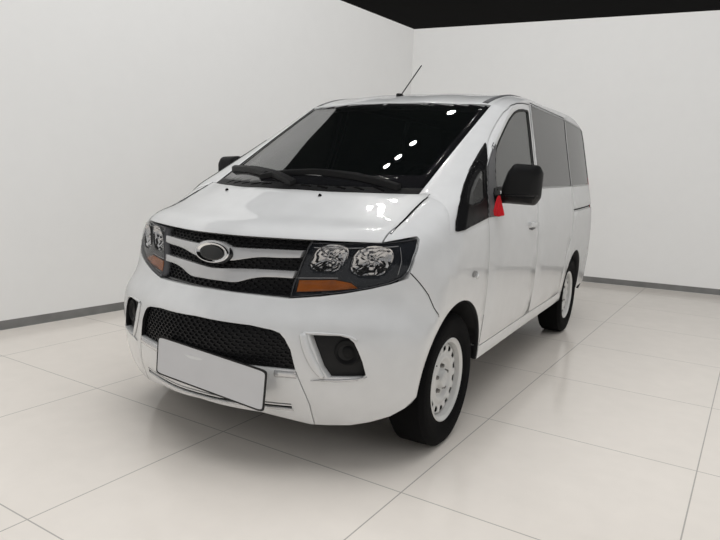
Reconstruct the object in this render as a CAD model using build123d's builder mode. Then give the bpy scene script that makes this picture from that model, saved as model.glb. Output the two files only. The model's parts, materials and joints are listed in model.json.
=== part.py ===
from build123d import *
from math import cos, degrees, hypot, radians, sin, tan
import os

os.makedirs("parts", exist_ok=True)

# ---------------------------------------------------------------- driving sizes, mm
# +X forward, +Y left, +Z up, origin on the ground under the middle of the body
LENGTH = 4620.0
WIDTH = 1795.0
HEIGHT = 1900.0
WHEELBASE = 2810.0
FRONT_OVERHANG = 825.0

TYRE_RADIUS = 322.0
TYRE_WIDTH = 195.0
RIM_RADIUS = 204.0          # over the flange that holds the bead
RIM_WIDTH = 165.0
WHEEL_TRACK = 1542.0        # between the tyres' middles
ARCH_RADIUS = 372.0
ARCH_LIFT = 20.0            # the arch's middle stands this far over the axle

SILL_BOTTOM = 335.0
DOOR_BOTTOM = 412.0
BELT = 1232.0               # lower edge of the side windows
BONNET_EDGE = 1003.0        # front edge of the bonnet over the grille
COWL = 1200.0               # foot of the windscreen on the middle line
BUMPER_BOTTOM = 215.0
REAR_BOTTOM = 275.0          # lower edge of the rear bumper
ROOF_SPLIT = 640.0          # half width of roof panel and windscreen

SHELL = 60.0                # body sides with their inner frames
DOOR_THICK = 42.0
SKIN = 22.0                 # bonnet, fenders and bumpers
GLASS = 5.0
GLASS_INSET = 3.0           # glass lies this far inside the outer skin
SEAT_GAP = 0.3              # a closed door off its inner frame
DOOR_GAP = 6.0              # around everything that opens
HINGE_GAP = 12.0            # rear edge of a front door's frame
FLANGE = 18.0               # inner frame seen through an open door

STEER_MAX = 33.0            # degrees either way at the wheels

HALF = LENGTH / 2
SIDE = WIDTH / 2
FRONT_AXLE = HALF - FRONT_OVERHANG
REAR_AXLE = FRONT_AXLE - WHEELBASE
AXLE_HEIGHT = TYRE_RADIUS
WHEEL_Y = WHEEL_TRACK / 2

# ---------------------------------------------------------------- the outer form
# Half width by height at the middle of the body, as distance inside SIDE.
SIDE_PROFILE = [(0.0, 140), (200, 97), (300, 42), (400, 24), (600, 6), (850, 0), (1030, 12),
                (1235, 54), (1480, 110), (1780, 172), (1990, 218)]
# Narrowing towards nose and tail, as a factor of the half width.
TAPER = [(HALF + 140, 0.930), (HALF - 410, 0.985), (FRONT_AXLE, 1.0), (600, 1.0), (-600, 1.0),
         (-1400, 0.996), (-2000, 0.975), (-HALF - 140, 0.940)]
# How the middle-line outline falls back and drops away towards each side:
# share of SIDE, nose back, bonnet down, cowl back, cowl down, header back, header down,
# roof down, tail forward
STATIONS = [
    (0.000, 0, 0, 0, 0, 0, 0, 0, 0),
    (0.200, 19, 1, 21, 0, 11, 0, 3, 3),
    (0.400, 78, 3, 82, 0, 44, 2, 12, 12),
    (0.570, 142, 5, 166, -1, 86, 4, 23, 26),
    (0.713, 205, 9, 248, -4, 132, 10, 39, 45),
    (0.825, 265, 26, 292, -6, 164, 46, 84, 76),
    (0.925, 352, 80, 312, 14, 190, 112, 178, 130),
    (1.015, 500, 190, 330, 70, 215, 210, 300, 230),
]


def outline(station, inset):
    """Closed side view of the body at one station, as four runs that share their corners."""
    _, nose_back, bonnet_down, cowl_back, cowl_down, head_back, head_down, roof_down, tail_in = station
    nose = [(90, 170), (12, 380), (0, 560), (18, 660), (82, 755), (120, 900)]
    nose = [(HALF - x - nose_back, z - bonnet_down * max(0, (z - 500) / 500)) for x, z in nose]
    lid = [(148, BONNET_EDGE - 3, 0), (190, BONNET_EDGE + 37, 0), (310, BONNET_EDGE + 79, 0.25),
           (460, COWL - 60, 0.6), (610, COWL, 1)]
    lid = [(HALF - x - nose_back * (1 - s) - cowl_back * s, z - bonnet_down * (1 - s) - cowl_down * s)
           for x, z, s in lid]
    foot = lid[-1]
    head = (HALF - 1730 - head_back, HEIGHT - 160 - head_down)
    middle = ((foot[0] + head[0]) / 2, (foot[1] + head[1]) / 2 + 4)
    screen = [foot, middle, head]
    crown = [(HALF - 1960, 94, 0.12), (HALF - 2310, 40, 0.3), (-500, 10, 1), (-1100, 0, 1),
             (-1700, 8, 1), (120 - HALF - 0, 78, 1)]
    roof = [head]
    for x, z, s in crown:
        back = head_back * (1 - s)
        ahead = tail_in if x < -2000 else 0
        roof.append((x - back + ahead, HEIGHT - z - roof_down * s - head_down * (1 - s)))
    tail = [(74, HEIGHT - 200, 0.5), (38, 1350, 0), (20, 1050, 0), (8, 800, 0), (0, 560, 0),
            (60, 170, 0)]
    tail = [(x - HALF + tail_in, z - roof_down * s) for x, z, s in tail]
    ring = nose + lid + screen[1:] + roof[1:] + tail
    corners = [0, len(nose) + len(lid) - 1]
    corners += [corners[1] + 2, corners[1] + 2 + len(crown), len(ring) - 1]
    return inward(ring, inset), corners


def inward(ring, inset):
    """Each point of an anticlockwise ring, moved in along the mean of its two normals."""
    moved = []
    for i, (x, z) in enumerate(ring):
        before, after = ring[i - 1], ring[(i + 1) % len(ring)]
        a, b = hypot(x - before[0], z - before[1]), hypot(after[0] - x, after[1] - z)
        nx = -(z - before[1]) / a - (after[1] - z) / b
        nz = (x - before[0]) / a + (after[0] - x) / b
        size = hypot(nx, nz)
        share = inset / (size / 2)
        moved.append((x + nx / size * share, z + nz / size * share))
    return moved


def length_form(inset):
    """Nose, bonnet, windscreen, roof and tail, lofted across the width."""
    with BuildPart() as form:
        rows = [(-s[0], s) for s in STATIONS[:0:-1]] + [(s[0], s) for s in STATIONS]
        for share, station in rows:
            ring, corners = outline(station, inset)
            with BuildSketch(Plane.XZ.offset(-share * (SIDE - inset))):
                with BuildLine():
                    for a, b in zip(corners, corners[1:]):
                        Spline(*ring[a:b + 1])
                    Line(ring[-1], ring[0])
                make_face()
        loft()
    return form.part


def side_form(inset):
    """Tumblehome and shoulders of the two sides, lofted along the length."""
    with BuildPart() as form:
        for x, share in TAPER:
            left = [((SIDE - w) * share - inset, z) for z, w in SIDE_PROFILE]
            right = [(-y, z) for y, z in left[::-1]]
            with BuildSketch(Plane.YZ.offset(x)):
                with BuildLine():
                    Spline(*left)
                    Line(left[-1], right[0])
                    Spline(*right)
                    Line(right[-1], left[0])
                make_face()
        loft()
    return form.part


def envelope(inset):
    with BuildPart() as form:
        add(length_form(inset))
        add(side_form(inset), mode=Mode.INTERSECT)
    return form.part


def prism(points, plane, near, far, grow=0.0):
    """A closed outline in a plane, grown by a clearance and drawn out between two depths."""
    turn = sum(a[0] * b[1] - b[0] * a[1] for a, b in zip(points, points[1:] + points[:1]))
    ring = inward(points if turn > 0 else points[::-1], -grow)
    with BuildPart() as block:
        with BuildSketch(plane.offset(near)):
            with BuildLine():
                Polyline(*ring, close=True)
            make_face()
        extrude(amount=far - near)
    return block.part


SIDE_VIEW = Plane(origin=(0, 0, 0), x_dir=(1, 0, 0), z_dir=(0, -1, 0))
FRONT_VIEW = Plane(origin=(0, 0, 0), x_dir=(0, 1, 0), z_dir=(1, 0, 0))


def left_prism(points, grow=0.0, near=ROOF_SPLIT, far=1000.0):
    return prism(points, SIDE_VIEW, -far, -near, grow)


def front_prism(points, grow=0.0, near=1400.0, far=2500.0):
    return prism(points, FRONT_VIEW, near, far, grow)


def rear_prism(points, grow=0.0):
    return prism(points, FRONT_VIEW, -2500.0, -1900.0, grow)


def plan_prism(points, grow=0.0, near=200.0, far=2100.0):
    return prism(points, Plane.XY, near, far, grow)


def slab(x0, x1, y0, y1, z0, z1):
    with BuildPart() as block:
        with Locations(((x0 + x1) / 2, (y0 + y1) / 2, (z0 + z1) / 2)):
            Box(x1 - x0, y1 - y0, z1 - z0)
    return block.part


OUTER = envelope(0)
UNDER_SKIN = envelope(SKIN)
UNDER_DOOR = envelope(DOOR_THICK)
FRAME_FACE = envelope(DOOR_THICK + SEAT_GAP)
INNER = envelope(SHELL)
GLASS_OUT = envelope(GLASS_INSET)
GLASS_IN = envelope(GLASS_INSET + GLASS)


def layer(outside, inside, *blocks):
    """The part of a wall between two envelopes that all the blocks share."""
    with BuildPart() as wall:
        add(blocks[0])
        for block in blocks[1:]:
            add(block, mode=Mode.INTERSECT)
        add(outside, mode=Mode.INTERSECT)
        add(inside, mode=Mode.SUBTRACT)
    return wall.part


def both(name, part):
    """A left piece and its mirror image, as two bodies of one file."""
    part.label = name
    return Compound(label=name, children=[part, mirror(part, about=Plane.XZ)])


def save(name, part):
    part.label = name
    export_step(part, f"parts/{name}.step")


def cut(part, *tools):
    with BuildPart() as rest:
        add(part)
        for tool in tools:
            add(tool, mode=Mode.SUBTRACT)
    return rest.part


def joined(*pieces):
    with BuildPart() as whole:
        for piece in pieces:
            add(piece)
    return whole.part


def largest(part):
    """The main body of a cut, without the slivers that it leaves at a corner."""
    return max(part.solids(), key=lambda solid: solid.volume)


def right_of(part):
    return mirror(part, about=Plane.XZ)


# ---------------------------------------------------------------- lines of the body, x and z
SEAM_FRONT = 1105.0         # front edge of the front doors
SEAM_MIDDLE = 66.0          # between front and sliding doors
FRONT_HINGE = SEAM_FRONT + 2
SLIDE_END = -1165.0         # rear edge of the sliding doors

FRONT_DOOR = [(SEAM_MIDDLE, DOOR_BOTTOM), (SEAM_FRONT, DOOR_BOTTOM), (SEAM_FRONT, 1068),
              (1098, 1092), (1060, 1228), (1006, 1356), (850, 1468), (741, 1532), (600, 1608),
              (459, 1680), (324, 1732), (211, 1758), (98, 1771), (-112, 1784), (-96, 1600),
              (-30, BELT), (SEAM_MIDDLE, 1030)]
SLIDING_DOOR = [(SEAM_MIDDLE - 6, DOOR_BOTTOM), (SEAM_MIDDLE - 6, 1030), (-36, BELT),
                (-102, 1600), (-118, 1795), (SLIDE_END - 70, 1795), (SLIDE_END - 10, BELT),
                (SLIDE_END + 35, 1000), (-1060, 850), (-905, 720), (-865, 560), (-852, DOOR_BOTTOM)]
DOOR_WINDOW = [(905, 1238), (866, 1356), (800, 1446), (720, 1495), (580, 1571), (444, 1641),
               (315, 1691), (206, 1717), (96, 1730), (-30, 1736), (-28, 1600), (-8, 1400), (28, 1240)]
CORNER_WINDOW = [(1524, 1046), (1500, 1083), (1436, 1146), (1380, 1190), (1281, 1247), (1152, 1317),
                 (1046, 1372), (1078, 1228), (1114, 1096), (1392, 1060)]
SLIDE_WINDOW = [(-112, BELT + 8), (-132, 1600), (-134, 1784), (SLIDE_END - 54, 1788),
                (SLIDE_END + 2, BELT + 20)]
REAR_WINDOW = [(SLIDE_END - 20, BELT + 20), (SLIDE_END - 80, 1788), (-2070, 1775), (-2128, 1700),
               (-2165, 1420), (-2150, 1333), (-2150, BELT + 36)]
RAIL = [(-930, 1040), (-930, 1066), (-2165, 1083), (-2165, 1057)]
SHELL_SIDE = [(-2500, SILL_BOTTOM), (SEAM_FRONT + DOOR_GAP, SILL_BOTTOM), (SEAM_FRONT + DOOR_GAP, 1062),
              (1573, 1028), (1450, 1210), (500, 2100), (-2500, 2100)]
FENDER_SIDE = [(SEAM_FRONT + DOOR_GAP, SILL_BOTTOM), (2500, SILL_BOTTOM), (2500, 1400), (1300, 1400),
               (1450, 1210), (1573, 1028), (SEAM_FRONT + DOOR_GAP, 1062)]
BUMPER_SIDE = [(1600, BUMPER_BOTTOM), (2500, BUMPER_BOTTOM), (2500, 1100), (2100, 950), (1905, 905),
               (1868, 880), (1833, 835), (1796, 785), (1768, 726), (1732, 672), (1600, 600)]
# ---------------------------------------------------------------- front and rear views, y and z
HEADLAMP = [(424, 1006), (690, 1006), (780, 1030), (920, 1034), (920, 868), (804, 862), (740, 834),
            (672, 812), (583, 790), (493, 773), (372, 757), (379, 821), (398, 898), (414, 970)]
LAMP_SIDE = [(1767, 1060), (1767, 1018), (1791, 995), (1836, 948), (1869, 885), (1890, 820),
             (1890, 700), (2500, 700), (2500, 1060)]
GRILLE = [(0, 1006), (424, 1006), (414, 970), (398, 898), (379, 821), (372, 757), (200, 762), (0, 765)]
LOWER_GRILLE = [(0, 655), (258, 648), (352, 636), (384, 626), (406, 604), (432, 559), (453, 472),
                (268, 474), (0, 480), (-268, 474), (-453, 472), (-432, 559), (-406, 604), (-384, 626),
                (-352, 636), (-258, 648)]
FOG_RECESS = [(497, 627), (612, 629), (645, 622), (666, 604), (684, 567), (700, 525), (713, 470),
              (700, 458), (575, 451), (548, 495), (525, 558)]
BUMPER_FOOT = [(0, 100), (950, 100), (950, 400), (862, 379), (855, 343), (833, 310), (787, 278),
               (714, 249), (638, 229), (559, 222), (484, 220), (404, 238), (294, 261), (0, 277)]
LIP_SLOTS = [(294, 306), (312, 318)]        # heights of the slots in the lower lip
LIP_SLOT_HALF = 425.0
CENTRE_SEAM = [(451, 470), (467, 423), (485, 365), (496, 318), (500, 200), (504, 200), (500, 318),
               (489, 365), (471, 423), (455, 470)]
SIDE_LAMP = (1332, 825)     # small turn lamp on each fender
HANDLE = [(128, 996), (318, 1000), (318, 1026), (128, 1022)]
TAIL_LAMP = [(722, 1330), (900, 1330), (900, 890), (722, 860)]
TAILGATE_HALF = 712.0
TAILGATE_BOTTOM = 640.0
TAILGATE_FRONT = -2190.0    # upper edge, at the end of the roof
TAILGATE_CAP = 1695.0       # above this height nothing of the tailgate is ahead of that edge
TAILGATE_WINDOW = [(-585, BELT + 30), (585, BELT + 30), (540, 1690), (-540, 1690)]

# ---------------------------------------------------------------- wheel arches
with BuildPart() as arch_holes:
    for x in (FRONT_AXLE, REAR_AXLE):
        with BuildSketch(Plane.XZ.offset(-1000)) as arch:
            with Locations((x, AXLE_HEIGHT + ARCH_LIFT)):
                Circle(ARCH_RADIUS)
            with Locations((x, AXLE_HEIGHT + ARCH_LIFT - 300)):
                Rectangle(2 * ARCH_RADIUS, 600)
        extrude(amount=560)
ARCHES = arch_holes.part

# ---------------------------------------------------------------- front doors
PROUD = envelope(-22)
door = cut(layer(OUTER, UNDER_DOOR, left_prism(FRONT_DOOR)), left_prism(DOOR_WINDOW))
door = joined(door, layer(PROUD, UNDER_SKIN, left_prism(HANDLE)))
save("front_door_left", door)
save("front_door_right", right_of(door))
pane = layer(GLASS_OUT, GLASS_IN, left_prism(DOOR_WINDOW))
save("front_door_glass_left", pane)
save("front_door_glass_right", right_of(pane))

# ---------------------------------------------------------------- sliding doors and their glass
slide = cut(layer(OUTER, UNDER_DOOR, left_prism(SLIDING_DOOR)), left_prism(SLIDE_WINDOW), ARCHES)
save("sliding_doors", both("sliding_doors", slide))
dark = layer(GLASS_OUT, GLASS_IN, left_prism(SLIDE_WINDOW))
dark_rear = layer(GLASS_OUT, GLASS_IN, left_prism(REAR_WINDOW))
corner = layer(GLASS_OUT, GLASS_IN, left_prism(CORNER_WINDOW))
side_glass = joined(dark, dark_rear, corner)
save("side_glass", both("side_glass", side_glass))

# ---------------------------------------------------------------- tailgate and its glass
GATE = [(-TAILGATE_HALF, TAILGATE_BOTTOM), (TAILGATE_HALF, TAILGATE_BOTTOM),
        (TAILGATE_HALF, 1250), (TAILGATE_HALF - 55, 1746), (TAILGATE_HALF - 85, 1950),
        (85 - TAILGATE_HALF, 1950), (55 - TAILGATE_HALF, 1746), (-TAILGATE_HALF, 1250)]
gate_cap = slab(TAILGATE_FRONT, -1800, -1000, 1000, TAILGATE_CAP, 2100)
gate = cut(layer(OUTER, UNDER_DOOR, rear_prism(GATE)), rear_prism(TAILGATE_WINDOW), gate_cap)
save("tailgate", gate)
save("tailgate_glass", layer(GLASS_OUT, GLASS_IN, rear_prism(TAILGATE_WINDOW)))

# ---------------------------------------------------------------- bonnet
COWL_LINE = [(HALF - 610 - s[3], s[0] * SIDE) for s in STATIONS[:6]]
HEADER_LINE = [(HALF - 1730 - s[5], s[0] * SIDE) for s in STATIONS[:6]]


def across(line, shift=0.0):
    """A line given for the left half, carried over to the right half and moved along X."""
    return [(x + shift, -y) for x, y in line[:0:-1]] + [(x + shift, y) for x, y in line]


def plan_strip(rear, front, half, z0, z1):
    """Between two lines across the body, no wider than half to either side."""
    with BuildPart() as block:
        with BuildSketch(Plane.XY.offset(z0)):
            with BuildLine():
                Spline(*rear)
                Line(rear[-1], front[-1])
                Spline(*front) if len(front) > 2 else Line(*front)
                Line(front[0], rear[0])
            make_face()
            with Locations((0, 0)):
                Rectangle(2 * LENGTH, 2 * half, mode=Mode.INTERSECT)
        extrude(amount=z1 - z0)
    return block.part


BONNET_HALF = 684.0
NOSE_LINE = [(2500, -900), (2500, 900)]
bonnet_block = plan_strip(across(COWL_LINE, 9), NOSE_LINE, BONNET_HALF, BONNET_EDGE, 1400)
bonnet_room = plan_strip(across(COWL_LINE, 3), NOSE_LINE, BONNET_HALF + DOOR_GAP,
                         BONNET_EDGE - DOOR_GAP, 1400)
save("bonnet", layer(OUTER, UNDER_SKIN, bonnet_block))

# ---------------------------------------------------------------- windscreen, cowl and roof
SCREEN_FOOT = 46.0          # cowl panel between bonnet and glass
HEADER_BAND = 8.0
screen_block = plan_strip(across(HEADER_LINE, HEADER_BAND), across(COWL_LINE, -SCREEN_FOOT), ROOF_SPLIT, 900, 1850)
save("windscreen", layer(GLASS_OUT, GLASS_IN, screen_block))
cowl_block = plan_strip(across(COWL_LINE, -SCREEN_FOOT), across(COWL_LINE, 2), ROOF_SPLIT, 900, 1400)
save("cowl_panel", layer(OUTER, UNDER_DOOR, cowl_block))
roof_end = slab(TAILGATE_FRONT + DOOR_GAP, -1800, -1000, 1000, TAILGATE_CAP, 2100)
gate_room = cut(rear_prism(GATE, DOOR_GAP), roof_end)
gate_mouth = cut(rear_prism(GATE, -FLANGE), slab(-2150, -1800, -1000, 1000, 1760, 2100))
roof_block = plan_strip([(-2500, -900), (-2500, 0), (-2500, 900)], across(HEADER_LINE, HEADER_BAND), ROOF_SPLIT, 1500, 2000)
roof = cut(layer(OUTER, UNDER_DOOR, roof_block), gate_room)
save("roof_panel", roof)

# ---------------------------------------------------------------- wheel housings
WELL_INNER = 490.0          # inner wall of the wheel housings
LINER = 4.0
LINER_RADIUS = ARCH_RADIUS + 6


def housing(x, radius, inner):
    """The room of one wheel, a half drum open below."""
    with BuildPart() as drum:
        with BuildSketch(Plane.XZ.offset(-900)):
            with Locations((x, AXLE_HEIGHT + ARCH_LIFT)):
                Circle(radius)
            with Locations((x, AXLE_HEIGHT + ARCH_LIFT - 200)):
                Rectangle(2 * radius, 400)
        extrude(amount=900 - inner)
    return drum.part


rear_room = housing(REAR_AXLE, LINER_RADIUS + LINER, WELL_INNER - LINER)
front_room = housing(FRONT_AXLE, LINER_RADIUS + LINER, WELL_INNER - LINER)

# ---------------------------------------------------------------- body sides
BUMPER_REAR_FRONT = -2040.0
REAR_BUMPER_TOP = TAILGATE_BOTTOM - DOOR_GAP
rear_bumper_block = slab(-2500, BUMPER_REAR_FRONT, -1000, 1000, REAR_BOTTOM, REAR_BUMPER_TOP)
side_block = left_prism(SHELL_SIDE)
shell = layer(OUTER, INNER, side_block)
pillar = layer(UNDER_SKIN, INNER, slab(SEAM_FRONT - FLANGE, SEAM_FRONT + 90, ROOF_SPLIT, 1000, SILL_BOTTOM, 1040))
outer_layer = cut(OUTER, FRAME_FACE)
door_room = joined(left_prism(FRONT_DOOR, DOOR_GAP), left_prism(SLIDING_DOOR, DOOR_GAP))
with BuildPart() as recess:
    add(door_room)
    add(gate_room)
    add(outer_layer, mode=Mode.INTERSECT)
front_mouth = left_prism(FRONT_DOOR, -FLANGE)
slide_mouth = left_prism(SLIDING_DOOR, -FLANGE)
rail_slot = cut(left_prism(RAIL, near=700), envelope(14))
body_side = cut(joined(shell, pillar), recess.part, front_mouth, slide_mouth, gate_mouth, ARCHES,
                rear_bumper_block, left_prism(CORNER_WINDOW), left_prism(REAR_WINDOW), rail_slot,
                bonnet_room, front_room,
                front_prism(TAIL_LAMP, near=-2500, far=-2150))
save("body_side_left", body_side)
save("body_side_right", right_of(body_side))


# ---------------------------------------------------------------- fenders, bumpers and lamps
bumper_block = left_prism(BUMPER_SIDE, near=0)
with BuildPart() as lamp_room:
    add(front_prism(HEADLAMP))
    add(left_prism(LAMP_SIDE, near=300), mode=Mode.INTERSECT)
lamp_block = lamp_room.part
grille_half = front_prism(GRILLE)
fender_block = left_prism(FENDER_SIDE, near=300)
cowl_room = plan_strip(across(COWL_LINE, -SCREEN_FOOT - 400), across(COWL_LINE, 2), ROOF_SPLIT, 900, 1400)
fender = cut(layer(OUTER, UNDER_SKIN, fender_block), bonnet_room, bumper_block, lamp_block,
             grille_half, ARCHES, cowl_room)
fender = largest(fender)
save("front_fenders", both("front_fenders", fender))
lamp = cut(layer(OUTER, INNER, lamp_block), bonnet_room)
with BuildPart() as side_lamp:
    with BuildSketch(Plane.XZ.offset(-800)):
        with Locations(SIDE_LAMP):
            Ellipse(30, 17)
    extrude(amount=-200)
    add(envelope(-9), mode=Mode.INTERSECT)
    add(envelope(-SEAT_GAP), mode=Mode.SUBTRACT)
lamps = [lamp, side_lamp.part]
save("headlamps", Compound(label="headlamps", children=lamps + [right_of(piece) for piece in lamps]))

bumper_whole = joined(bumper_block, right_of(bumper_block))
grille_block = joined(grille_half, right_of(grille_half))
lower_block = front_prism(LOWER_GRILLE)
fog_block = joined(front_prism(FOG_RECESS), right_of(front_prism(FOG_RECESS)))
foot_block = front_prism(BUMPER_FOOT)
slot_blocks = [slab(1900, 2500, -LIP_SLOT_HALF, LIP_SLOT_HALF, low, high) for low, high in LIP_SLOTS]
seam_block = front_prism(CENTRE_SEAM)
grooves = layer(OUTER, GLASS_IN, joined(*slot_blocks, seam_block, right_of(seam_block)))
front_bumper = cut(layer(OUTER, UNDER_SKIN, bumper_whole), bonnet_room, lamp_block, right_of(lamp_block),
                   grille_block, lower_block, fog_block, foot_block, right_of(foot_block), grooves,
                   ARCHES, right_of(ARCHES))
save("front_bumper", front_bumper)
rear_bumper = cut(layer(OUTER, UNDER_SKIN, rear_bumper_block), ARCHES, right_of(ARCHES))
save("rear_bumper", rear_bumper)
tail_lamp = layer(OUTER, UNDER_DOOR, front_prism(TAIL_LAMP, near=-2500, far=-2150))
save("tail_lamps", both("tail_lamps", cut(tail_lamp, gate_room)))


# ---------------------------------------------------------------- grilles
MESH_SET = 34.0
MESH = 10.0
mesh_face = envelope(MESH_SET)
mesh_back = envelope(MESH_SET + MESH)
upper_grille = cut(layer(mesh_face, mesh_back, grille_block), bonnet_room)
MESH_LAP = 8.0
lower_mesh = layer(UNDER_SKIN, mesh_face, front_prism(LOWER_GRILLE, MESH_LAP))
fog_panel = layer(UNDER_SKIN, mesh_face, front_prism(FOG_RECESS, MESH_LAP))
save("grilles", Compound(label="grilles", children=[upper_grille, lower_mesh, fog_panel, right_of(fog_panel)]))

BADGE_Z = 920.0
UPPER_BAR = ([(0, 951), (109, 951), (180, 952), (267, 954), (409, 957), (480, 960)],
             [(0, 893), (96, 895), (157, 907), (232, 920), (292, 922), (389, 927), (480, 932)])
LOWER_BAR = ([(0, 853), (72, 858), (231, 867), (378, 869), (480, 872)],
             [(0, 803), (59, 804), (140, 808), (188, 824), (262, 838), (362, 840), (480, 845)])
BAR_END = 14.0              # ends short of the headlamps


def bar_prism(top, bottom):
    """A bar across the grille, between two smooth edges given for its left half."""
    upper = [(-y, z) for y, z in top[:0:-1]] + top
    lower = [(-y, z) for y, z in bottom[:0:-1]] + bottom
    with BuildPart() as block:
        with BuildSketch(FRONT_VIEW.offset(1400)):
            with BuildLine():
                Spline(*upper)
                Line(upper[-1], lower[-1])
                Spline(*lower)
                Line(lower[0], upper[0])
            make_face()
        extrude(amount=1100)
    return block.part


bar_face = envelope(4)
with BuildPart() as badge:
    with BuildSketch(Plane(origin=(2120, 0, BADGE_Z), x_dir=(0, 1, 0), z_dir=(1, 0, 0.12))):
        Ellipse(95, 46)
    extrude(amount=77)
bar_room = front_prism([(y, z) for y, z in GRILLE], grow=-BAR_END)
bar_room = joined(bar_room, right_of(bar_room), slab(1900, 2500, -60, 60, 780, 985))
bars = joined(cut(layer(bar_face, mesh_face, bar_prism(*UPPER_BAR), bar_room), bonnet_room),
              cut(badge.part, mesh_face))
lower_bar = layer(bar_face, mesh_face, bar_prism(*LOWER_BAR), bar_room)
save("grille_bars", Compound(label="grille_bars", children=[bars, lower_bar]))

# ---------------------------------------------------------------- floor, bulkhead and front frame
FLOOR = 405.0
FLOOR_THICK = 25.0
BULKHEAD = 1150.0
REAR_FLOOR = 520.0
REAR_STEP = -930.0            # where the floor rises over the rear axle


floor_slab = slab(REAR_STEP, BULKHEAD, -880, 880, FLOOR - FLOOR_THICK, FLOOR)
rear_slab = slab(-2240, REAR_STEP + FLOOR_THICK, -880, 880, REAR_FLOOR - FLOOR_THICK, REAR_FLOOR)
riser = slab(REAR_STEP, REAR_STEP + FLOOR_THICK, -880, 880, FLOOR - FLOOR_THICK, REAR_FLOOR)
with BuildPart() as floor:
    add(INNER)
    add(joined(floor_slab, riser, rear_slab), mode=Mode.INTERSECT)
    add([rear_room, right_of(rear_room), front_room, right_of(front_room)], mode=Mode.SUBTRACT)
rear_panel = layer(UNDER_SKIN, INNER, slab(-2400, BUMPER_REAR_FRONT - 60, -640, 640, FLOOR - 40, TAILGATE_BOTTOM + FLANGE))
rear_panel = cut(rear_panel, recess.part, rear_prism([(-720, 634), (720, 634), (720, 700), (-720, 700)]))
save("floor_pan", joined(floor.part, rear_panel))

with BuildPart() as wall:
    add(INNER)
    add(slab(BULKHEAD, BULKHEAD + 20, -880, 880, FLOOR - 100, 1110), mode=Mode.INTERSECT)
with BuildPart() as shelf:
    add(UNDER_DOOR)
    add(slab(BULKHEAD, 1700, -600, 600, 1090, 1110), mode=Mode.INTERSECT)
    add(plan_strip(across(COWL_LINE, -400), across(COWL_LINE, -10), 600, 900, 1400), mode=Mode.INTERSECT)

liners = []
for x, wall_face in ((FRONT_AXLE, UNDER_SKIN), (REAR_AXLE, INNER)):
    with BuildPart() as liner:
        add(housing(x, LINER_RADIUS + LINER, WELL_INNER - LINER))
        add(housing(x, LINER_RADIUS, WELL_INNER), mode=Mode.SUBTRACT)
        add(slab(-2500, 2500, 0, 900, 470, 1000), mode=Mode.INTERSECT)
        add(wall_face, mode=Mode.INTERSECT)
    liners.append(liner.part)
save("wheel_liners", Compound(label="wheel_liners", children=liners + [right_of(piece) for piece in liners]))

RAIL_Y = 440.0
RAIL_WIDE = 70.0
RAIL_Z = 470.0
RAIL_HIGH = 100.0
RAIL_END = 2100.0
RADIATOR_X = 1960.0
under_lid = envelope(SKIN + SEAT_GAP)
with BuildPart() as frame:
    for y in (RAIL_Y, -RAIL_Y):
        with Locations(((BULKHEAD + 20 + RAIL_END) / 2, y, RAIL_Z)):
            Box(RAIL_END - BULKHEAD - 20, RAIL_WIDE, RAIL_HIGH)
    with Locations((RAIL_END, 0, RAIL_Z)):
        Box(60, 2 * RAIL_Y + RAIL_WIDE, 110)
    with Locations((RADIATOR_X, 0, 700)):
        Box(40, 900, 540)
    with Locations((RADIATOR_X, 0, 690)):
        Box(60, 740, 400, mode=Mode.SUBTRACT)
        Box(24, 742, 402)
    with Locations((RADIATOR_X, 0, 1020)):
        Box(30, 60, 120)
    add(under_lid, mode=Mode.INTERSECT)
rooms = (front_room, right_of(front_room))
save("front_frame", cut(joined(wall.part, shelf.part, frame.part), *rooms, lamp, right_of(lamp)))

# ---------------------------------------------------------------- engine, exhaust, tank
with BuildPart() as engine:
    with Locations((1625, 0, 640)):
        Box(590, 560, 420)
    with Locations((1625, 0, 880)):
        Box(460, 300, 60)
    with Locations((1625, 0, RAIL_Z)):
        Box(120, 2 * RAIL_Y - RAIL_WIDE - 2 * SEAT_GAP, 60)
save("engine", engine.part)
with BuildPart() as tank:
    with Locations((-355, 330, FLOOR - FLOOR_THICK - 80)):
        Box(600, 380, 160)
    fillet(tank.edges().filter_by(Axis.Z), 40)
PIPE_Z = 310.0
with BuildPart() as exhaust:
    with Locations((-480, -290, PIPE_Z - 10)):
        Box(640, 220, 110)
    fillet(exhaust.edges().filter_by(Axis.X), 40)
    with Locations(Location((-150, -330, PIPE_Z), (0, 90, 0))):
        Cylinder(25, 2100)
    for x in (700, REAR_STEP + 60):
        with Locations((x, -330, (PIPE_Z + FLOOR - FLOOR_THICK) / 2)):
            Box(16, 30, FLOOR - FLOOR_THICK - PIPE_Z)
save("exhaust_and_tank", Compound(label="exhaust_and_tank", children=[exhaust.part, tank.part]))

# ---------------------------------------------------------------- wheels
RIM_WELL = 176.0            # radius of the rim's middle
SLOTS = 16
SLOT_RADIUS = 151.0
SLOT_LONG = 36.0
SLOT_WIDE = 20.0
HUB_BORE = 24.0             # the spindle's seat in the wheel
SPINDLE_FIT = 0.3
STEEL = 6.0
lip = RIM_WIDTH / 2
BARREL = [(RIM_RADIUS, -lip), (RIM_RADIUS - 8, 4 - lip), (RIM_RADIUS - 18, 14 - lip), (RIM_RADIUS - 20, -28),
          (RIM_WELL, -14), (RIM_WELL, 14), (RIM_RADIUS - 20, 30), (RIM_RADIUS - 18, lip - 14),
          (RIM_RADIUS - 8, lip - 4), (RIM_RADIUS, lip), (RIM_RADIUS - 6, lip + 3),
          (RIM_RADIUS - 22, lip - 8), (RIM_RADIUS - 28, 32), (RIM_WELL - STEEL, 12), (RIM_WELL - STEEL, -16),
          (RIM_RADIUS - 26, -32), (RIM_RADIUS - 22, 8 - lip), (RIM_RADIUS - 6, -lip - 3)]
DISC_FACE = 38.0            # flat of the wheel disc, out from the rim's middle
HUB_CAP = DISC_FACE + 22.0  # inside of the domed hub
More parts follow.
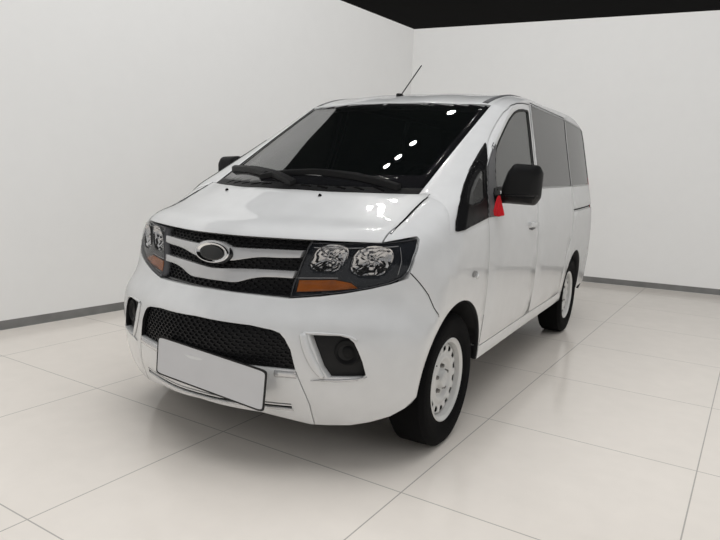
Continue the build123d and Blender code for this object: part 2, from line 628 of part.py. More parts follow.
DISC = [(RIM_WELL + 2, 8), (150, 17), (126, DISC_FACE - 2), (112, DISC_FACE + 1), (96, DISC_FACE - 6),
        (62, DISC_FACE - 8), (47, DISC_FACE + 12), (34, HUB_CAP + 3), (16, HUB_CAP + 7), (0, HUB_CAP + 8),
        (0, HUB_CAP), (HUB_BORE, HUB_CAP), (HUB_BORE, DISC_FACE - 22), (96, DISC_FACE - 22),
        (122, DISC_FACE - 12), (146, 9), (RIM_WELL + 2, 0)]
with BuildPart() as wheel:
    for profile in (BARREL, DISC):
        with BuildSketch(Plane.XY):
            with BuildLine():
                Polyline(*profile, close=True)
            make_face()
        revolve(axis=Axis.Y)
    with BuildSketch(Plane.XZ.offset(-70)):
        with PolarLocations(SLOT_RADIUS, SLOTS):
            SlotOverall(SLOT_LONG, SLOT_WIDE, rotation=90)
    extrude(amount=90, mode=Mode.SUBTRACT)

SHOULDER = TYRE_WIDTH / 2
RUBBER = 12.0
BEAD = RIM_RADIUS - 16
SECTION = [(TYRE_RADIUS, SHOULDER - 24), (TYRE_RADIUS - 18, SHOULDER - 6), (TYRE_RADIUS - 44, SHOULDER),
           (TYRE_RADIUS - 84, SHOULDER - 3), (RIM_RADIUS + 6, lip + 2), (BEAD, lip - 8), (BEAD, lip - 30),
           (TYRE_RADIUS - RUBBER, SHOULDER - 40)]
SECTION = SECTION + [(r, -y) for r, y in SECTION[::-1]]
with BuildPart() as rubber:
    with BuildSketch(Plane.XY):
        with BuildLine():
            Polyline(*SECTION, close=True)
        make_face()
    revolve(axis=Axis.Y)
TYRE = cut(rubber.part, wheel.part)


def at_wheel(part, x, side):
    """A left-hand wheel piece carried to its axle; the right side is its mirror image."""
    placed = Location((x, WHEEL_Y, AXLE_HEIGHT)) * part
    return placed if side > 0 else right_of(placed)


for end, x in (("front", FRONT_AXLE), ("rear", REAR_AXLE)):
    for hand, side in (("left", 1), ("right", -1)):
        save(f"rim_{end}_{hand}", at_wheel(wheel.part, x, side))
        save(f"tyre_{end}_{hand}", at_wheel(TYRE, x, side))

# ---------------------------------------------------------------- axles, knuckles and arms
KINGPIN_Y = 690.0
KINGPIN_Z = 110.0           # half height of the upright
SPINDLE = HUB_BORE - SPINDLE_FIT
SPINDLE_END = WHEEL_Y + HUB_CAP - SPINDLE_FIT
with BuildPart() as knuckle:
    with Locations(Location((FRONT_AXLE, (KINGPIN_Y + SPINDLE_END) / 2, AXLE_HEIGHT), (90, 0, 0))):
        Cylinder(SPINDLE, SPINDLE_END - KINGPIN_Y)
    with Locations((FRONT_AXLE, KINGPIN_Y, AXLE_HEIGHT)):
        Cylinder(22, 2 * KINGPIN_Z)
    with Locations(Location((FRONT_AXLE, KINGPIN_Y + 38, AXLE_HEIGHT), (90, 0, 0))):
        Cylinder(110, 18)
save("knuckle_left", knuckle.part)
save("knuckle_right", right_of(knuckle.part))

ARM_SEAT = SEAT_GAP
with BuildPart() as subframe:
    with Locations((FRONT_AXLE, 0, 235)):
        Box(240, 2 * RAIL_Y + 60, 60)
    with Locations((FRONT_AXLE, RAIL_Y, 320), (FRONT_AXLE, -RAIL_Y, 320)):
        Box(200, 60, 2 * (RAIL_Z - RAIL_HIGH / 2 - 320))
    for side in (1, -1):
        with BuildSketch(Plane.XY.offset(AXLE_HEIGHT - KINGPIN_Z - ARM_SEAT - 34)):
            with BuildLine():
                Polyline((FRONT_AXLE - 110, side * 360), (FRONT_AXLE + 110, side * 360),
                         (FRONT_AXLE + 32, side * (KINGPIN_Y + 24)), (FRONT_AXLE - 32, side * (KINGPIN_Y + 24)), close=True)
            make_face()
        extrude(amount=34)
        with BuildSketch(Plane.XY.offset(AXLE_HEIGHT + KINGPIN_Z + ARM_SEAT)):
            with BuildLine():
                Polyline((FRONT_AXLE - 60, side * (RAIL_Y - 20)), (FRONT_AXLE + 60, side * (RAIL_Y - 20)),
                         (FRONT_AXLE + 30, side * (KINGPIN_Y + 20)), (FRONT_AXLE - 30, side * (KINGPIN_Y + 20)), close=True)
            make_face()
        extrude(amount=30)
save("front_subframe", cut(subframe.part, frame.part))

with BuildPart() as beam:
    with Locations(Location((REAR_AXLE, 0, AXLE_HEIGHT), (90, 0, 0))):
        Cylinder(SPINDLE, 2 * SPINDLE_END)
        Cylinder(40, 2 * WHEEL_Y - 130)
    with Locations((REAR_AXLE, 0, AXLE_HEIGHT)):
        Sphere(105)
    for side in (1, -1):
        with Locations(Location((REAR_AXLE, side * (WHEEL_Y - 60), AXLE_HEIGHT), (90, 0, 0))):
            Cylinder(115, 40)
        with Locations((REAR_AXLE + 40, side * 440, AXLE_HEIGHT - 46)):
            Box(1200, 60, 24)
        for x, top in ((REAR_AXLE - 540, REAR_FLOOR - FLOOR_THICK), (REAR_AXLE + 620, FLOOR - FLOOR_THICK)):
            with Locations((x, side * 440, (AXLE_HEIGHT - 46 + top) / 2)):
                Box(40, 60, top - AXLE_HEIGHT + 46)
save("rear_axle", beam.part)

# ---------------------------------------------------------------- mirrors, wipers and antenna
MIRROR_FACE = [(888, 1160), (1058, 1156), (1084, 1196), (1087, 1325), (1066, 1364), (938, 1371),
               (908, 1330), (878, 1232)]
MIRROR_MIDDLE = (985, 1262)
MIRROR_SECTIONS = [(868, 0.96), (888, 1.0), (925, 0.98), (956, 0.86), (974, 0.60)]
with BuildPart() as mirror_shell:
    for x, share in MIRROR_SECTIONS:
        with BuildSketch(Plane(origin=(x, 0, 0), x_dir=(0, 1, 0), z_dir=(1, 0, 0))) as face:
            with BuildLine():
                middle_y, middle_z = MIRROR_MIDDLE
                Polyline(*[(middle_y + (y - middle_y) * share, middle_z + (z - middle_z) * share)
                           for y, z in MIRROR_FACE], close=True)
            make_face()
            fillet(face.vertices(), 16 * share)
    loft()
    with BuildSketch(Plane.XZ.offset(-780)):
        with Locations((925, 1182)):
            RectangleRounded(64, 44, 16)
    extrude(amount=-130)
mirror_part = cut(mirror_shell.part, OUTER)
mirror_part = max(mirror_part.solids(), key=lambda solid: solid.volume)
save("mirror_left", mirror_part)
save("mirror_right", right_of(mirror_part))

WIPER_ARMS = [[(1503, 538), (1480, 552), (1541, 70), (1556, 74)],
              [(1680, 40), (1654, 58), (1440, -404), (1456, -412)]]
WIPER_BLADES = [[(1600, -216), (1585, -220), (1501, 348), (1516, 352)],
                [(1340, -626), (1326, -616), (1562, -196), (1576, -204)]]
wiper_children = []
for arm, blade in zip(WIPER_ARMS, WIPER_BLADES):
    with BuildPart() as wiper:
        add(joined(prism(arm, Plane.XY, 1100, 1500), prism(blade, Plane.XY, 1100, 1500)))
        add(PROUD, mode=Mode.INTERSECT)
        add(OUTER, mode=Mode.SUBTRACT)
    wiper_children.append(largest(wiper.part))
save("wipers", Compound(label="wipers", children=wiper_children))

with BuildPart() as whip:
    with Locations(Location((330, -40, 1800), (0, -14, 0))):
        Cylinder(24, 40)
    with Locations(Location((330, -40, 1800), (0, -52, 0))):
        Cylinder(4, 420, align=(Align.CENTER, Align.CENTER, Align.MIN))
save("antenna", cut(whip.part, OUTER))

# ---------------------------------------------------------------- cabin
with BuildPart() as dash:
    with BuildSketch(Plane.XZ.offset(-700)):
        with BuildLine():
            Polyline((BULKHEAD, 640), (BULKHEAD, 1080), (1100, 1120), (940, 1110), (880, 1040), (900, 900),
                     (1000, 700), (1060, 640), close=True)
        make_face()
    extrude(amount=1400)
    fillet(dash.edges().filter_by(Axis.Y).sort_by(Axis.X)[:3], 20)
    add(INNER, mode=Mode.INTERSECT)
WHEEL_CENTRE = (720, 380, 1190)
COLUMN_TILT = 62.0
SHAFT = 20.0
turn = Location(WHEEL_CENTRE, (0, -COLUMN_TILT, 0))
with BuildPart() as column:
    with Locations(turn):
        with Locations((0, 0, -165)):
            Cylinder(SHAFT + 16, 180)
with BuildPart() as column_bore:
    with Locations(turn):
        with Locations((0, 0, -95)):
            Cylinder(SHAFT + SEAT_GAP, 70)
save("dashboard", cut(joined(dash.part, column.part), column_bore.part))

with BuildPart() as steering:
    with Locations(turn):
        Torus(175, 14)
        Cylinder(48, 36)
        Box(340, 34, 16)
        with Locations((0, 0, -65)):
            Cylinder(SHAFT, 120)
save("steering_wheel", steering.part)


def seat(x, y, width, base, depth, back, lean, head=True):
    """One seat with pan, back and headrest as a single solid."""
    with BuildPart() as one:
        with Locations((x, y, base + 75)):
            Box(depth, width, 150)
        fillet(one.edges(), 30)
        with Locations(Location((x - depth / 2 + 40, y, base + 90), (0, -lean, 0))):
            with Locations((0, 0, back / 2)):
                Box(110, width - 20, back)
            if head:
                with Locations((0, 0, back + 90)):
                    Box(80, 230, 170)
                with Locations((0, 50, back + 10), (0, -50, back + 10)):
                    Cylinder(7, 60)
    return one.part


FRONT_SEAT_X = 290.0
front = [seat(FRONT_SEAT_X, y, 500, FLOOR + 300, 500, 600, 14) for y in (385, -385)]
plinths = [slab(FRONT_SEAT_X - 200, FRONT_SEAT_X + 200, y - 200, y + 200, FLOOR, FLOOR + 300) for y in (385, -385)]
front = [joined(a, b) for a, b in zip(front, plinths)]
rows = []
for x, low, high in ((-640, FLOOR, FLOOR + 280), (-1640, REAR_FLOOR, REAR_FLOOR + 220)):
    base = seat(x, 0, 940, high, 460, 560, 14, head=False)
    legs = [slab(x - 180, x + 180, y - 20, y + 20, low, high) for y in (300, -300)]
    rows.append(joined(base, *legs))
save("seats", Compound(label="seats", children=front + rows))
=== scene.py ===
import json
import math

import bmesh
import bpy
import numpy as np
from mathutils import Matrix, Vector
from mathutils.geometry import delaunay_2d_cdt


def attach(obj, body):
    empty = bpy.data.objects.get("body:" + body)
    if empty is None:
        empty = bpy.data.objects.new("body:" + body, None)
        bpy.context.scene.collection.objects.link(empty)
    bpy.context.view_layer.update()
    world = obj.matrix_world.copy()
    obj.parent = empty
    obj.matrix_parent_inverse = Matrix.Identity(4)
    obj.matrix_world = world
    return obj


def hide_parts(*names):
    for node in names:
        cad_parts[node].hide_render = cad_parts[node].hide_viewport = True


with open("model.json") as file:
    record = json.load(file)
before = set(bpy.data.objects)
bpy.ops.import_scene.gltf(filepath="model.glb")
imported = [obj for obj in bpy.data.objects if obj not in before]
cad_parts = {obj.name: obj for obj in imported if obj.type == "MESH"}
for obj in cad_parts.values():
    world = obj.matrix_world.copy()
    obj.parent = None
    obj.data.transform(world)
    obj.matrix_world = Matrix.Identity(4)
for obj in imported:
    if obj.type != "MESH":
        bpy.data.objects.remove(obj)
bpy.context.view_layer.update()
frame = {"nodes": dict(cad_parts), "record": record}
nodes = frame["nodes"]
SCENE = bpy.context.scene

# The body's measures, in metres, as the solids have them.
FRONT_AXLE = 1.485
REAR_AXLE = -1.325
AXLE_Z = 0.322
WHEEL_Y = 0.771
TYRE_R = 0.322


# ------------------------------------------------------------------ camera and lights
def new_object(name, data):
    """An object of that data, in the scene's collection."""
    obj = bpy.data.objects.new(name, data)
    bpy.context.collection.objects.link(obj)
    return obj


def camera():
    data = bpy.data.cameras.new("camera")
    data.sensor_width = 36.0
    data.lens = 31.567
    data.shift_x = 0.0111
    data.shift_y = 0.0072
    cam = new_object("camera", data)
    cam.location = (4.27325, 1.88006, 1.28849)
    cam.rotation_euler = [math.radians(a) for a in (80.7919, -2.2378, 119.8646)]
    SCENE.camera = cam


def area_light(name, place, target, size, power):
    """A rectangular lamp at a place that looks at a target; mirrors and glass don't show it."""
    data = bpy.data.lights.new(name, "AREA")
    data.shape = "RECTANGLE"
    data.size, data.size_y = size
    data.energy = power
    lamp = new_object(name, data)
    lamp.location = place
    lamp.rotation_euler = (Vector(target) - Vector(place)).to_track_quat("-Z", "Y").to_euler()
    lamp.visible_glossy = False


# ------------------------------------------------------------------ node helpers
def shader_of(mat):
    return mat.node_tree.nodes["Principled BSDF"]


def new_material(name):
    mat = bpy.data.materials.new(name)
    mat.use_nodes = True
    return mat, mat.node_tree, shader_of(mat)


def add(tree, kind, **settings):
    """A node of that kind with its plain settings."""
    node = tree.nodes.new(kind)
    for key, value in settings.items():
        setattr(node, key, value)
    return node


def calc(tree, operation, a, b=None, c=None):
    """A math node; each operand is a number or a socket. Returns its output."""
    node = tree.nodes.new("ShaderNodeMath")
    node.operation = operation
    for socket, value in zip(node.inputs, (a, b, c)):
        if value is None:
            continue
        if isinstance(value, (int, float)):
            socket.default_value = value
        else:
            tree.links.new(value, socket)
    return node.outputs[0]


def distance(tree, x, z):
    """How far a point is from an axle: the root of x squared plus z squared."""
    return calc(tree, "SQRT",
                calc(tree, "ADD", calc(tree, "MULTIPLY", x, x), calc(tree, "MULTIPLY", z, z)))


def group(name, inputs, outputs):
    """An empty shader node group with its sockets: (label, kind, start value or None)."""
    tree = bpy.data.node_groups.new(name, "ShaderNodeTree")
    for label, kind, start in inputs:
        socket = tree.interface.new_socket(name=label, in_out="INPUT",
                                           socket_type="NodeSocket" + kind)
        if start is not None:
            socket.default_value = start
    for label, kind in outputs:
        tree.interface.new_socket(name=label, in_out="OUTPUT", socket_type="NodeSocket" + kind)
    return tree, tree.nodes.new("NodeGroupInput").outputs, tree.nodes.new("NodeGroupOutput").inputs


def grain_group():
    """Fine surface grain: a value for colour, a roughness and a bumped normal from noise."""
    tree, enter, leave = group(
        "surface grain",
        [("Vector", "Vector", None), ("Size", "Float", 400.0), ("Depth", "Float", 0.0005),
         ("Low", "Float", 0.3), ("High", "Float", 0.5)],
        [("Value", "Float"), ("Roughness", "Float"), ("Normal", "Vector")])
    noise = add(tree, "ShaderNodeTexNoise")
    noise.inputs["Detail"].default_value = 3.0
    wide = add(tree, "ShaderNodeTexNoise")
    wide.inputs["Scale"].default_value = 9.0
    wide.inputs["Detail"].default_value = 2.0
    mapped = add(tree, "ShaderNodeMapRange")
    bump = add(tree, "ShaderNodeBump")
    wear = calc(tree, "ADD", calc(tree, "MULTIPLY", noise.outputs["Fac"], 0.5),
                calc(tree, "MULTIPLY", wide.outputs["Fac"], 0.5))
    for a, b in ((enter["Vector"], noise.inputs["Vector"]),
                 (enter["Vector"], wide.inputs["Vector"]), (enter["Size"], noise.inputs["Scale"]),
                 (wear, mapped.inputs["Value"]), (enter["Low"], mapped.inputs["To Min"]),
                 (enter["High"], mapped.inputs["To Max"]),
                 (noise.outputs["Fac"], bump.inputs["Height"]),
                 (enter["Depth"], bump.inputs["Distance"]), (wear, leave["Value"]),
                 (mapped.outputs["Result"], leave["Roughness"]),
                 (bump.outputs["Normal"], leave["Normal"])):
        tree.links.new(a, b)
    return tree


GRAIN = grain_group()


def grained(name, colour, size=400.0, depth=0.0002, low=0.35, high=0.5, metal=0.0, coat=0.0,
            coat_rough=0.03, specular=0.5, spread=0.12):
    """A finish with fine grain: its colour spreads to both sides of the one given, and its
    roughness runs from low to high."""
    mat, tree, shader = new_material(name)
    shader.inputs["Metallic"].default_value = metal
    shader.inputs["Coat Weight"].default_value = coat
    shader.inputs["Coat Roughness"].default_value = coat_rough
    shader.inputs["Specular IOR Level"].default_value = specular
    where = add(tree, "ShaderNodeTexCoord")
    grain = add(tree, "ShaderNodeGroup", node_tree=GRAIN)
    for label, value in (("Size", size), ("Depth", depth), ("Low", low), ("High", high)):
        grain.inputs[label].default_value = value
    ramp = add(tree, "ShaderNodeValToRGB")
    first, last = ramp.color_ramp.elements
    first.position, last.position = 0.35, 0.65
    first.color = (*[c * (1 - spread) for c in colour], 1)
    last.color = (*[min(1, c * (1 + spread)) for c in colour], 1)
    tree.links.new(where.outputs["Object"], grain.inputs["Vector"])
    tree.links.new(grain.outputs["Value"], ramp.inputs["Fac"])
    tree.links.new(ramp.outputs["Color"], shader.inputs["Base Color"])
    tree.links.new(grain.outputs["Roughness"], shader.inputs["Roughness"])
    tree.links.new(grain.outputs["Normal"], shader.inputs["Normal"])
    return mat


def clear(name, colour, rough=0.0, alpha=1.0):
    """Thin glass: a tinted, see-through sheet that keeps its gloss and has no bump."""
    mat = grained(name, colour, size=60, depth=0.00001, low=rough, high=rough + 0.02, spread=0.05)
    shader = shader_of(mat)
    shader.inputs["Alpha"].default_value = alpha
    mat.node_tree.links.remove(shader.inputs["Normal"].links[0])
    return mat


# Where the shell's faces count as lining, coloured near-black partly as the lining's own colour and
# partly as
# painted shade of the cabin and arches: above the one height they look down, behind the one place
# they look forward, and within the reach of an axle they look at it.
LINING_Z = 1.45
LINING_X = -1.9
ARCH_REACH = 0.46


def inner_group():
    """1 on the faces of the shell that look into the cabin or at an axle from its arch, 0 on
    its skin."""
    tree, enter, leave = group("cabin side of the shell",
                               [("Vector", "Vector", None), ("Normal", "Vector", None)],
                               [("Mask", "Float")])
    place, facing = add(tree, "ShaderNodeSeparateXYZ"), add(tree, "ShaderNodeSeparateXYZ")
    tree.links.new(enter["Vector"], place.inputs[0])
    tree.links.new(enter["Normal"], facing.inputs[0])
    side = calc(tree, "SIGN", place.outputs["Y"])
    inward = calc(tree, "LESS_THAN", calc(tree, "MULTIPLY", facing.outputs["Y"], side), -0.45)
    down = calc(tree, "LESS_THAN", facing.outputs["Z"], -0.5)
    high = calc(tree, "GREATER_THAN", place.outputs["Z"], LINING_Z)
    back = calc(tree, "MULTIPLY", calc(tree, "GREATER_THAN", facing.outputs["X"], 0.5),
                calc(tree, "LESS_THAN", place.outputs["X"], LINING_X))
    mask = calc(tree, "MAXIMUM", calc(tree, "MAXIMUM", inward, back),
                calc(tree, "MULTIPLY", down, high))
    for axle in (FRONT_AXLE, REAR_AXLE):
        x, z = calc(tree, "SUBTRACT", place.outputs["X"], axle), calc(tree, "SUBTRACT",
                                                                      place.outputs["Z"], AXLE_Z)
        radius = distance(tree, x, z)
        toward = calc(tree, "ADD", calc(tree, "MULTIPLY", facing.outputs["X"], x),
                      calc(tree, "MULTIPLY", facing.outputs["Z"], z))
        arch = calc(tree, "MULTIPLY",
                    calc(tree, "LESS_THAN", calc(tree, "DIVIDE", toward, radius), -0.6),
                    calc(tree, "LESS_THAN", radius, ARCH_REACH))
        mask = calc(tree, "MAXIMUM", mask, arch)
    tree.links.new(mask, leave["Mask"])
    return tree


INNER = inner_group()


def lined_and_shaded(mat, colour):
    """Gives a paint a dull near-black colour on the shell's inner faces: partly the lining's own
    colour, partly painted shade in the cabin and under the arches.
    """
    tree = mat.node_tree
    shader = shader_of(mat)
    where, face = add(tree, "ShaderNodeTexCoord"), add(tree, "ShaderNodeNewGeometry")
    mask = add(tree, "ShaderNodeGroup", node_tree=INNER)
    tree.links.new(where.outputs["Object"], mask.inputs["Vector"])
    tree.links.new(face.outputs["True Normal"], mask.inputs["Normal"])
    old = shader.inputs["Base Color"].links[0].from_socket
    # Near-black on the masked faces: partly lining colour, partly painted shade.
    mix = add(tree, "ShaderNodeMix", data_type="RGBA")
    mix.inputs[7].default_value = (*colour, 1)
    tree.links.new(mask.outputs["Mask"], mix.inputs[0])
    tree.links.new(old, mix.inputs[6])
    tree.links.new(mix.outputs[2], shader.inputs["Base Color"])
    for label in ("Metallic", "Coat Weight"):
        start = shader.inputs[label].default_value
        tree.links.new(calc(tree, "MULTIPLY", calc(tree, "SUBTRACT", 1.0, mask.outputs["Mask"]),
                            start), shader.inputs[label])
    return mat


# Tyre marks, as radians of a sine: ribs and slant a metre across the tread, blocks and teeth a
# radian of turn, rings a metre of radius.
TREAD_RIBS, TREAD_BLOCKS, TREAD_SLANT = 98.0, 64.0, 130.0
WALL_RINGS, WALL_TEETH = 1250.0, 110.0
TREAD_HEIGHT, TEETH_HEIGHT = 0.021, 0.034
TREAD_DEPTH = 0.006


def tyre_group():
    """Tread blocks and side rings round one axle, in bump and as painted shade in the grooves: the
    turn about the hub gives angle and radius.
    """
    tree, enter, leave = group("tyre marks", [("Vector", "Vector", None), ("Axle", "Float", 0.0),
                                              ("Normal", "Vector", None)],
                               [("Normal", "Vector"), ("Shade", "Float")])
    place = add(tree, "ShaderNodeSeparateXYZ")
    tree.links.new(enter["Vector"], place.inputs[0])
    x = calc(tree, "SUBTRACT", place.outputs["X"], enter["Axle"])
    z = calc(tree, "SUBTRACT", place.outputs["Z"], AXLE_Z)
    turn = calc(tree, "ARCTAN2", z, x)
    radius = distance(tree, x, z)
    across = calc(tree, "SUBTRACT", calc(tree, "ABSOLUTE", place.outputs["Y"]), WHEEL_Y)
    tread = calc(tree, "GREATER_THAN", radius, TYRE_R - TREAD_HEIGHT)
    ridge = calc(tree, "SINE", calc(tree, "MULTIPLY", across, TREAD_RIBS))
    ribs = calc(tree, "LESS_THAN", calc(tree, "ABSOLUTE", ridge), 0.25)
    slant = calc(tree, "ADD", calc(tree, "MULTIPLY", turn, TREAD_BLOCKS),
                 calc(tree, "MULTIPLY", calc(tree, "ABSOLUTE", across), TREAD_SLANT))
    blocks = calc(tree, "LESS_THAN", calc(tree, "ABSOLUTE", calc(tree, "SINE", slant)), 0.28)
    groove = calc(tree, "MULTIPLY", calc(tree, "MAXIMUM", ribs, blocks), tread)
    rings = calc(tree, "MULTIPLY", calc(tree, "SINE", calc(tree, "MULTIPLY", radius, WALL_RINGS)),
                 0.10)
    comb = calc(tree, "SINE", calc(tree, "MULTIPLY", turn, WALL_TEETH))
    teeth = calc(tree, "MULTIPLY", calc(tree, "GREATER_THAN", comb, 0.1),
                 calc(tree, "COMPARE", radius, TYRE_R - TEETH_HEIGHT, 0.008))
    side = calc(tree, "MULTIPLY", calc(tree, "ADD", rings, calc(tree, "MULTIPLY", teeth, 0.35)),
                calc(tree, "SUBTRACT", 1.0, tread))
    height = calc(tree, "SUBTRACT", side, groove)
    bump = add(tree, "ShaderNodeBump")
    bump.inputs["Distance"].default_value = TREAD_DEPTH
    tree.links.new(height, bump.inputs["Height"])
    tree.links.new(enter["Normal"], bump.inputs["Normal"])
    tree.links.new(bump.outputs["Normal"], leave["Normal"])
    # Painted shade: the tread's grooves darken the rubber's colour towards near-black.
    tree.links.new(calc(tree, "SUBTRACT", 1.0, calc(tree, "MULTIPLY", groove, 0.7)), leave["Shade"])
    return tree


TYRE_MARKS = tyre_group()


def tyre_rubber(name, axle):
    """Dull rubber with the tread and side marks of a wheel on that axle, and painted shade
    darkening its tread's grooves.
    """
    mat = grained(name, (0.006, 0.006, 0.0065), size=260, depth=0.0002, low=0.7, high=0.85,
                  specular=0.10)
    tree = mat.node_tree
    shader = shader_of(mat)
    marks = add(tree, "ShaderNodeGroup", node_tree=TYRE_MARKS)
    marks.inputs["Axle"].default_value = axle
    where = add(tree, "ShaderNodeTexCoord")
    # Painted shade: the grooves mix towards this near-black.
    mix = add(tree, "ShaderNodeMix", data_type="RGBA")
    mix.inputs[6].default_value = (0.004, 0.004, 0.004, 1)
    tree.links.new(where.outputs["Object"], marks.inputs["Vector"])
    tree.links.new(shader.inputs["Normal"].links[0].from_socket, marks.inputs["Normal"])
    tree.links.new(marks.outputs["Shade"], mix.inputs[0])
    tree.links.new(shader.inputs["Base Color"].links[0].from_socket, mix.inputs[7])
    tree.links.new(mix.outputs[2], shader.inputs["Base Color"])
    tree.links.new(marks.outputs["Normal"], shader.inputs["Normal"])
    return mat


# The paint's inner faces take the near-black of lining and painted shade.
PAINT = lined_and_shaded(grained("pearl silver paint", (0.73, 0.735, 0.735), size=2600, depth=0.00002,
                      low=0.30, high=0.36, metal=0.18, coat=1.0, coat_rough=0.03, spread=0.04),
              (0.03, 0.03, 0.032))
SILVER = grained("bright silver trim", (0.66, 0.66, 0.665), size=1800, depth=0.00001, low=0.20,
                 high=0.28, metal=0.6, coat=0.6, spread=0.03)
CHROME = grained("chrome", (0.86, 0.86, 0.87), size=200, depth=0.00001, low=0.03, high=0.07,
                 metal=1.0, spread=0.03)
WHEEL_SILVER = grained("wheel silver", (0.72, 0.72, 0.705), size=700, depth=0.0001, low=0.32,
                       high=0.46, metal=0.30, coat=0.2, spread=0.08)
BLACK = grained("grained black plastic", (0.0105, 0.0105, 0.011), size=900, depth=0.0004, low=0.42,
                high=0.56, specular=0.35)
GLOSS_BLACK = grained("gloss black trim", (0.008, 0.008, 0.009), size=500, depth=0.00001, low=0.05,
                      high=0.10, coat=0.5)
# Near-black bands laid in seams, slots, the door rail and behind the wheels' slots: painted shade.
SEAM_SHADOW = grained("seam shadow", (0.006, 0.006, 0.006), size=500, depth=0.00001, low=0.7, high=0.9,
               specular=0.1)
GREY_TRIM = grained("dark grey moulding", (0.10, 0.10, 0.105), size=900, depth=0.0002, low=0.35,
                    high=0.5)
DARK = grained("dark underbody", (0.018, 0.018, 0.019), size=300, depth=0.0006, low=0.6, high=0.8)
CABIN = grained("cabin plastic", (0.030, 0.031, 0.034), size=700, depth=0.0004, low=0.5, high=0.65)
METAL = grained("cast metal", (0.32, 0.32, 0.33), size=240, depth=0.0008, low=0.4, high=0.6,
                metal=0.9)
STEEL = grained("dull steel", (0.30, 0.29, 0.28), size=200, depth=0.0006, low=0.4, high=0.6,
                metal=0.9)
GLASS = clear("window glass", (0.004, 0.005, 0.005), alpha=0.68)
for label, value in (("Coat Weight", 1.0), ("Coat Roughness", 0.0), ("Coat IOR", 1.9)):
    shader_of(GLASS).inputs[label].default_value = value
DARK_GLASS = clear("privacy glass", (0.085, 0.085, 0.083), rough=0.03, alpha=0.97)
LAMP_GLASS = clear("lamp glass", (0.02, 0.021, 0.023), alpha=0.22)
RED_LENS = grained("red lens", (0.42, 0.012, 0.010), size=300, depth=0.0002, low=0.06, high=0.12,
                   coat=0.5)
AMBER = grained("amber lens", (0.33, 0.088, 0.010), size=340, depth=0.0006, low=0.10, high=0.2,
                coat=0.5, spread=0.35)
PLATE = grained("blank plate", (0.62, 0.62, 0.63), size=900, depth=0.00002, low=0.3, high=0.4,
                spread=0.02)
RED_CLOTH = grained("red cloth", (0.55, 0.012, 0.020), size=1500, depth=0.0006, low=0.8, high=0.95,
                    spread=0.3)

FINISH = {
    "paint": PAINT, "tyre": BLACK, "wheel_silver": WHEEL_SILVER, "clear_glass": GLASS,
    "dark_glass": DARK_GLASS,
    "lamp_clear": LAMP_GLASS, "lamp_red": RED_LENS, "bright_silver": SILVER, "black_plastic": BLACK,
    "seat_cloth": CABIN, "black_steel": DARK, "cast_metal": METAL, "dull_steel": STEEL,
}

def dress(obj, mat):
    """Gives an object one material in place of those it had."""
    obj.data.materials.clear()
    obj.data.materials.append(mat)


slot_of = {piece["node"]: piece["material_slot"] for piece in frame["record"]["subparts"]}
TYRE_FRONT = tyre_rubber("front tyre rubber", FRONT_AXLE)
TYRE_REAR = tyre_rubber("rear tyre rubber", REAR_AXLE)
for name, node in nodes.items():
    finish = FINISH[slot_of[name]]
    if name.startswith("tyre"):
        finish = TYRE_FRONT if "front" in name else TYRE_REAR
    dress(node, finish)


# ------------------------------------------------------------------ stage
def stage_mesh(name, points, faces, mat):
    mesh = bpy.data.meshes.new(name)
    mesh.from_pydata(points, [], faces)
    mesh.materials.append(mat)
    obj = new_object(name, mesh)
    return obj


STAGE_HALF = 14.0
WALL_TOP = 3.30
CEILING_Z = 3.9
WALL_CORNER = (-4.14, -2.04)
WALL_ENDS = ((-5.35, 12.9), (9.0, -3.63))
SKIRTING_FOOT, SKIRTING_TOP, SKIRTING_PROUD = 0.002, 0.075, 0.004
TILE, TILE_JOINT, TILE_TURN = 1.0, 0.003, math.radians(3)
FLOOR_MAT = grained("pale floor", (0.775, 0.725, 0.665), size=3, depth=0.00001, low=0.10, high=0.18,
                    spread=0.02)
WALL_MAT = grained("pale wall", (0.64, 0.64, 0.63), size=3, depth=0.00001, low=0.8, high=0.9,
                   spread=0.01)


def tiles():
    """Faint joints of large floor tiles, as thin darker lines on the floor's colour."""
    tree = FLOOR_MAT.node_tree
    shader = shader_of(FLOOR_MAT)
    where = add(tree, "ShaderNodeTexCoord")
    brick = add(tree, "ShaderNodeTexBrick", offset=0.0)
    brick.inputs["Scale"].default_value = 1.0
    brick.inputs["Mortar Size"].default_value = TILE_JOINT
    brick.inputs["Brick Width"].default_value = TILE
    brick.inputs["Row Height"].default_value = TILE
    turn = add(tree, "ShaderNodeMapping")
    turn.inputs["Rotation"].default_value = (0, 0, TILE_TURN)
    mix = add(tree, "ShaderNodeMix", data_type="RGBA")
    mix.inputs[7].default_value = (0.42, 0.40, 0.37, 1)
    tree.links.new(where.outputs["Object"], turn.inputs[0])
    tree.links.new(turn.outputs[0], brick.inputs["Vector"])
    tree.links.new(brick.outputs["Fac"], mix.inputs[0])
    tree.links.new(shader.inputs["Base Color"].links[0].from_socket, mix.inputs[6])
    tree.links.new(mix.outputs[2], shader.inputs["Base Color"])


tiles()


def shown_paler(mat, colour, strength):
    """Gives a backdrop a plain pale glow for the camera alone, so that it lights nothing."""
    tree = mat.node_tree
    path = add(tree, "ShaderNodeLightPath")
    shader = shader_of(mat)
    shader.inputs["Emission Color"].default_value = (*colour, 1)
    seen = calc(tree, "MAXIMUM", path.outputs["Is Camera Ray"], path.outputs["Is Transmission Ray"])
    tree.links.new(calc(tree, "MULTIPLY", seen, strength), shader.inputs["Emission Strength"])


def one_sided(mat):
    """A backdrop that is clear from behind, so that it hides no view of the object."""
    tree = mat.node_tree
    face = add(tree, "ShaderNodeNewGeometry")
    tree.links.new(calc(tree, "SUBTRACT", 1.0, face.outputs["Backfacing"]),
                   shader_of(mat).inputs["Alpha"])


